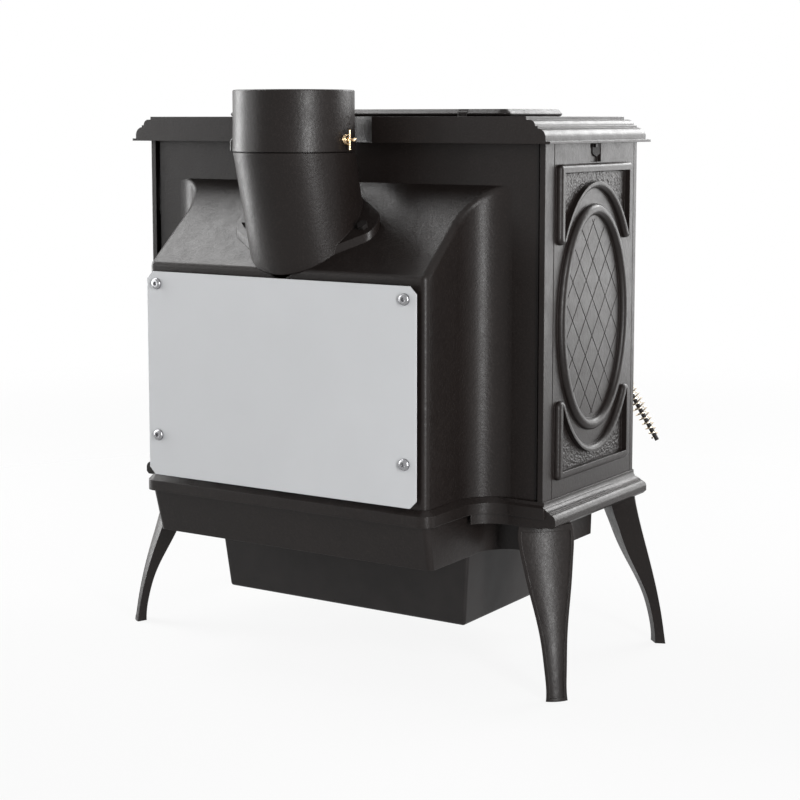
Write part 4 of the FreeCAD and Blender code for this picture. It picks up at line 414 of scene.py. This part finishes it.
def rope_yarn(finish):
    """Spun glass fibre yarn, with fibres and paler fuzz."""
    shade = Shade("rope_yarn")
    fibres = shade.noise(2600.0, 3.0)
    fuzz = shade.noise(380.0, 4.0)
    tone = shade.mottle(fuzz, finish.rope, 0.7, 1.5)
    shade.colour(shade.mix(shade.spread(fibres, 0.5, 0.8, 0.0, 0.6), tone, lighter(finish.rope, 2.4)))
    shade.rough(shade.spread(fibres, 0.3, 0.7, 0.8, 1.0))
    shade.set(specular=0.2)
    shade.bump(fibres, 0.0003, 0.5)
    return shade.material


def door_pane(finish):
    """Clear ceramic glass with a faint smoke film."""
    shade = Shade("door_pane")
    film = shade.noise(9.0, 4.0)
    fine = shade.noise(120.0, 2.0)
    smoke = shade.spread(film, 0.45, 0.8, 0.0, 0.35)
    shade.colour(shade.mix(smoke, tuple(finish.glass), lighter(finish.glass, 0.7)))
    shade.rough(shade.spread(film, 0.3, 0.8, 0.02, 0.10))
    shade.set(clear=0.95, ior=1.5)
    shade.bump(fine, 0.00005, 0.05)
    return shade.material


def wear(names, material):
    """Gives the CAD nodes a finish."""
    for name in names:
        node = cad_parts[name]
        node.data.materials.clear()
        node.data.materials.append(material)


def finish_of(context):
    return context.scene.stove_finish


def shared_iron(context):
    """The castings' paint, made once."""
    found = bpy.data.materials.get("iron_paint")
    return found if found else iron_paint(finish_of(context))


def link_mesh(name, mesh, material, body):
    """Puts a new piece in the scene, on its body and in its material slot."""
    mesh.materials.append(material)
    obj = bpy.data.objects.new(name, mesh)
    bpy.context.scene.collection.objects.link(obj)
    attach(obj, body)
    return obj


class STOVE_OT_castings(bpy.types.Operator):
    """Paints every casting"""

    bl_idname = "stove.castings"
    bl_label = "Castings"

    def execute(self, context):
        wear(CASTINGS, shared_iron(context))
        return {"FINISHED"}


class STOVE_OT_fittings(bpy.types.Operator):
    """Finishes the black steel fittings and the plated wire"""

    bl_idname = "stove.fittings"
    bl_label = "Fittings"

    def execute(self, context):
        finish = finish_of(context)
        wear(STEEL_PARTS, black_steel(finish))
        wear(NICKEL_PARTS, plated("nickel_wire", finish.nickel, 0.20, 1500.0))
        wear(GILT_PARTS, gilt_rod(finish))
        return {"FINISHED"}


class STOVE_OT_shield(bpy.types.Operator):
    """Finishes the heat shield and its screws"""

    bl_idname = "stove.shield"
    bl_label = "Heat shield"

    def execute(self, context):
        finish = finish_of(context)
        wear(("heat_shield",), shield_coat(finish))
        wear(("shield_screws",), plated("polished_screws", finish.bright, 0.22, 1200.0))
        return {"FINISHED"}


class STOVE_OT_linings(bpy.types.Operator):
    """Finishes the firebox lining and the door's glass"""

    bl_idname = "stove.linings"
    bl_label = "Linings and glass"

    def execute(self, context):
        finish = finish_of(context)
        wear(LININGS, refractory(finish))
        wear(("door_glass",), door_pane(finish))
        return {"FINISHED"}


def smooth_mesh(mesh, name):
    """Turns a bmesh into a mesh that is shaded smooth, and frees it."""
    bmesh.ops.recalc_face_normals(mesh, faces=mesh.faces)
    for face in mesh.faces:
        face.smooth = True
    data = bpy.data.meshes.new(name)
    mesh.to_mesh(data)
    mesh.free()
    return data


def pebble_height(y, z, sizes):
    """Height of the stipple at a place of the ground, as a share of its rise."""
    point = Vector((y / sizes.pebble, z / sizes.pebble, 0.0))
    near = noise.voronoi(point)[0][0]
    drift = noise.noise(point * DRIFT_SCALE)
    return max(STIPPLE_LEAST, min(1.0, STIPPLE_CREST - near + STIPPLE_DRIFT * drift))


def ground_mesh(name, sizes, sign_x, sign_z):
    """Closed plate with a stippled face, filling the field between a frame's bead and its arch."""
    columns = int(2 * sizes.field_half / GROUND_STEP)
    rows = GROUND_ROWS
    half = sizes.field_half - GROUND_MARGIN
    top = sizes.field_top - sizes.oval_z - GROUND_MARGIN
    mesh = bmesh.new()
    grid = []
    for i in range(columns + 1):
        t = -half + 2 * half * i / columns
        low = sizes.arch_z * math.sqrt(1 - (t / sizes.arch_y) ** 2) + GROUND_MARGIN
        column = []
        for j in range(rows + 1):
            z = low + (top - low) * j / rows
            if i in (0, columns) or j in (0, rows):
                rise = -GROUND_SINK
            else:
                rise = sizes.pebble_rise * pebble_height(t, z + STIPPLE_SHIFT * sign_z, sizes)
            place = (sign_x * (sizes.face_x + rise), sizes.oval_y + t, sizes.oval_z + sign_z * z)
            column.append(mesh.verts.new(place))
        grid.append(column)
    for i in range(columns):
        for j in range(rows):
            mesh.faces.new((grid[i][j], grid[i + 1][j], grid[i + 1][j + 1], grid[i][j + 1]))
    rim = [c[0] for c in grid] + grid[-1][1:] + [c[-1] for c in reversed(grid[:-1])] + grid[0][-2:0:-1]
    back = [mesh.verts.new((v.co.x - sign_x * GROUND_BACK, v.co.y, v.co.z)) for v in rim]
    for i in range(len(rim)):
        k = (i + 1) % len(rim)
        mesh.faces.new((rim[i], back[i], back[k], rim[k]))
    mesh.faces.new(back)
    return smooth_mesh(mesh, name)


class STOVE_OT_grounds(bpy.types.Operator):
    """Makes the stippled grounds in the corners of the side ornament"""

    bl_idname = "stove.grounds"
    bl_label = "Stippled grounds"

    def execute(self, context):
        sizes = context.scene.stove_sizes
        paint = shared_iron(context)
        for side, sign_x in (("left", 1), ("right", -1)):
            for level, sign_z in (("upper", 1), ("lower", -1)):
                name = f"stippled_ground_{side}_{level}"
                link_mesh(name, ground_mesh(name, sizes, sign_x, sign_z), paint, "stove_body")
        return {"FINISHED"}


def loop_points(half, low, high, bend, step):
    """Even points and directions round a rectangle with rounded corners, in plan values."""
    quarter = bend * math.pi / 2
    pieces = []
    corners = [(half - bend, low + bend, -90), (half - bend, high - bend, 0),
               (-half + bend, high - bend, 90), (-half + bend, low + bend, 180)]
    for i, (a, b, start) in enumerate(corners):
        pieces.append(("arc", a, b, math.radians(start)))
        c, d, _ = corners[(i + 1) % 4]
        end = math.radians(start + 90)
        heading = math.radians(start + 180)
        length = math.hypot(c - a, d - b)
        pieces.append(("run", a + bend * math.cos(end), b + bend * math.sin(end), heading, length))
    length = sum(p[4] if p[0] == "run" else quarter for p in pieces)
    count = int(length / step)
    points = []
    for k in range(count):
        s = length * k / count
        for piece in pieces:
            own = piece[4] if piece[0] == "run" else quarter
            if s <= own:
                break
            s -= own
        if piece[0] == "arc":
            angle = piece[3] + s / bend
            heading = angle + math.pi / 2
            points.append((piece[1] + bend * math.cos(angle), piece[2] + bend * math.sin(angle), heading))
        else:
            heading = piece[3]
            points.append((piece[1] + s * math.cos(heading), piece[2] + s * math.sin(heading), heading))
    return points, length


def rope_mesh(name, points, length, radius, strands, place):
    """Twisted rope along a closed loop; place turns plan values and a height into a point."""
    strand_r = radius * STRAND_SHARE
    offset = radius - strand_r
    turns = max(1, round(length / (TWIST_PITCH * radius)))
    sides = STRAND_SIDES
    mesh = bmesh.new()
    count = len(points)
    for s in range(strands):
        rings = []
        for k, (a, b, heading) in enumerate(points):
            twist = 2 * math.pi * (turns * k / count + s / strands)
            out = (math.sin(heading), -math.cos(heading))
            ring = []
            for m in range(sides):
                angle = 2 * math.pi * m / sides + twist
                across = offset * math.cos(twist) + strand_r * math.cos(angle)
                up = offset * math.sin(twist) + strand_r * math.sin(angle)
                ring.append(mesh.verts.new(place(a + out[0] * across, b + out[1] * across, up)))
            rings.append(ring)
        for k in range(count):
            here, after = rings[k], rings[(k + 1) % count]
            for m in range(sides):
                n = (m + 1) % sides
                mesh.faces.new((here[m], here[n], after[n], after[m]))
    return smooth_mesh(mesh, name)


class STOVE_OT_seals(bpy.types.Operator):
    """Makes the twisted rope seals of the lid and the door"""

    bl_idname = "stove.seals"
    bl_label = "Rope seals"

    def execute(self, context):
        sizes = context.scene.stove_sizes
        yarn = rope_yarn(finish_of(context))
        low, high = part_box("lid_rope_seal")
        middle, radius = (low.z + high.z) / 2, (high.z - low.z) / 2
        points, length = loop_points(
            sizes.lid_rope_half, sizes.lid_rope_front, sizes.lid_rope_rear, sizes.lid_bend, LID_ROPE_STEP,
        )
        mesh = rope_mesh(
            "lid_rope", points, length, radius, sizes.strands, lambda a, b, up: (a, b, middle + up),
        )
        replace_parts(link_mesh("lid_rope", mesh, yarn, "lid_body"), "lid_rope_seal")
        low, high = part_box("door_rope_seal")
        depth, seal_r = (low.y + high.y) / 2, (high.y - low.y) / 2
        points, length = loop_points(
            sizes.door_rope_half, sizes.door_rope_low, sizes.door_rope_high, sizes.door_bend, DOOR_ROPE_STEP,
        )
        mesh = rope_mesh(
            "door_rope", points, length, seal_r, sizes.strands, lambda a, b, up: (a, depth + up, b),
        )
        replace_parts(link_mesh("door_rope", mesh, yarn, "door_body"), "door_rope_seal")
        return {"FINISHED"}


def floor_material(half):
    """Pale floor that is seen as near white, takes the stove's shadow and fades out round it."""
    material = bpy.data.materials.new("pale_floor")
    material.use_nodes = True
    nodes, links = material.node_tree.nodes, material.node_tree.links
    nodes.clear()
    diffuse = nodes.new("ShaderNodeBsdfDiffuse")
    diffuse.inputs["Color"].default_value = (FLOOR_GREY, FLOOR_GREY, FLOOR_GREY, 1.0)
    glow = nodes.new("ShaderNodeEmission")
    glow.inputs["Strength"].default_value = 1.0
    share = nodes.new("ShaderNodeMath")
    share.operation = "MULTIPLY"
    share.inputs[1].default_value = FLOOR_GLOW
    links.new(seen_ray(nodes, links), share.inputs[0])
    lit = nodes.new("ShaderNodeMixShader")
    links.new(share.outputs["Value"], lit.inputs["Fac"])
    links.new(diffuse.outputs["BSDF"], lit.inputs[1])
    links.new(glow.outputs["Emission"], lit.inputs[2])
    away = nodes.new("ShaderNodeVectorMath")
    away.operation = "LENGTH"
    links.new(nodes.new("ShaderNodeTexCoord").outputs["Object"], away.inputs[0])
    fade = nodes.new("ShaderNodeMapRange")
    fade.interpolation_type = "SMOOTHSTEP"
    fade.inputs["From Min"].default_value = FADE_FROM * half
    fade.inputs["From Max"].default_value = FADE_TO * half
    links.new(away.outputs["Value"], fade.inputs["Value"])
    clear = nodes.new("ShaderNodeBsdfTransparent")
    mix = nodes.new("ShaderNodeMixShader")
    links.new(fade.outputs["Result"], mix.inputs["Fac"])
    links.new(lit.outputs["Shader"], mix.inputs[1])
    links.new(clear.outputs["BSDF"], mix.inputs[2])
    out = nodes.new("ShaderNodeOutputMaterial")
    links.new(mix.outputs["Shader"], out.inputs["Surface"])
    return material


def seen_ray(nodes, links):
    """1 for a ray from the camera, a mirror or a clear piece, 0 for one that only carries light."""
    path = nodes.new("ShaderNodeLightPath")
    value = path.outputs["Is Camera Ray"]
    for name in ("Is Glossy Ray", "Is Transmission Ray"):
        most = nodes.new("ShaderNodeMath")
        most.operation = "MAXIMUM"
        links.new(value, most.inputs[0])
        links.new(path.outputs[name], most.inputs[1])
        value = most.outputs["Value"]
    return value


def white_world(ambient):
    """World that is white where it is seen, and an even light elsewhere."""
    world = bpy.data.worlds.new("studio")
    bpy.context.scene.world = world
    world.use_nodes = True
    nodes, links = world.node_tree.nodes, world.node_tree.links
    nodes.clear()
    strength = nodes.new("ShaderNodeMapRange")
    strength.inputs["To Min"].default_value = ambient
    strength.inputs["To Max"].default_value = 1.0
    links.new(seen_ray(nodes, links), strength.inputs["Value"])
    background = nodes.new("ShaderNodeBackground")
    background.inputs["Color"].default_value = (1.0, 1.0, 1.0, 1.0)
    links.new(strength.outputs["Result"], background.inputs["Strength"])
    out = nodes.new("ShaderNodeOutputWorld")
    links.new(background.outputs["Background"], out.inputs["Surface"])


def soft_lamp(name, place, size, power):
    """Area lamp that is aimed at the stove and hidden from the camera."""
    data = bpy.data.lights.new(name, "AREA")
    data.shape = "RECTANGLE"
    data.size, data.size_y = size
    data.energy = power
    lamp = bpy.data.objects.new(name, data)
    bpy.context.scene.collection.objects.link(lamp)
    lamp.location = place
    lamp.rotation_euler = (Vector(LAMP_TARGET) - Vector(place)).to_track_quat("-Z", "Y").to_euler()
    lamp.visible_camera = False


class STOVE_OT_stage(bpy.types.Operator):
    """Makes the floor, the light and the camera"""

    bl_idname = "stove.stage"
    bl_label = "Stage"

    def execute(self, context):
        scene = context.scene
        stage = scene.stove_stage
        half = stage.floor_half
        mesh = bpy.data.meshes.new("floor")
        corners = [(-half, -half, 0), (half, -half, 0), (half, half, 0), (-half, half, 0)]
        mesh.from_pydata(corners, [], [(0, 1, 2, 3)])
        mesh.materials.append(floor_material(half))
        floor = bpy.data.objects.new("floor", mesh)
        scene.collection.objects.link(floor)
        floor.location.z = -FLOOR_DROP
        white_world(stage.ambient)
        for lamp in LAMPS:
            soft_lamp(*lamp)
        data = bpy.data.cameras.new("camera")
        data.sensor_fit = "HORIZONTAL"
        data.sensor_width = SENSOR_WIDTH
        data.lens = stage.lens
        data.shift_y = stage.shift
        camera = bpy.data.objects.new("camera", data)
        scene.collection.objects.link(camera)
        camera.location = stage.camera_at
        camera.rotation_euler = (stage.tilt, 0.0, stage.turn)
        scene.camera = camera
        scene.view_settings.view_transform = "Standard"
        return {"FINISHED"}


class STOVE_PT_panel(bpy.types.Panel):
    """Lists the stove's finishes, sizes and steps"""

    bl_idname = "STOVE_PT_panel"
    bl_label = "Cast Iron Stove"
    bl_space_type = "VIEW_3D"
    bl_region_type = "UI"
    bl_category = "Stove"

    def draw(self, context):
        layout = self.layout
        for operator in OPERATORS:
            layout.operator(operator.bl_idname)
        for group in (context.scene.stove_finish, context.scene.stove_sizes, context.scene.stove_stage):
            column = layout.box().column()
            for name in group.bl_rna.properties.keys():
                if name not in ("rna_type", "name"):
                    column.prop(group, name)


OPERATORS = (
    STOVE_OT_castings, STOVE_OT_fittings, STOVE_OT_shield, STOVE_OT_linings, STOVE_OT_grounds, STOVE_OT_seals,
    STOVE_OT_stage,
)
CLASSES = (StoveFinish, StoveSizes, StoveStage, *OPERATORS, STOVE_PT_panel)


def register():
    for cls in CLASSES:
        bpy.utils.register_class(cls)
    bpy.types.Scene.stove_finish = PointerProperty(type=StoveFinish)
    bpy.types.Scene.stove_sizes = PointerProperty(type=StoveSizes)
    bpy.types.Scene.stove_stage = PointerProperty(type=StoveStage)


def unregister():
    del bpy.types.Scene.stove_finish
    del bpy.types.Scene.stove_sizes
    del bpy.types.Scene.stove_stage
    for cls in reversed(CLASSES):
        bpy.utils.unregister_class(cls)


def main():
    register()
    bpy.ops.stove.castings()
    bpy.ops.stove.fittings()
    bpy.ops.stove.shield()
    bpy.ops.stove.linings()
    bpy.ops.stove.grounds()
    bpy.ops.stove.seals()
    bpy.ops.stove.stage()


if __name__ == "__main__":
    main()
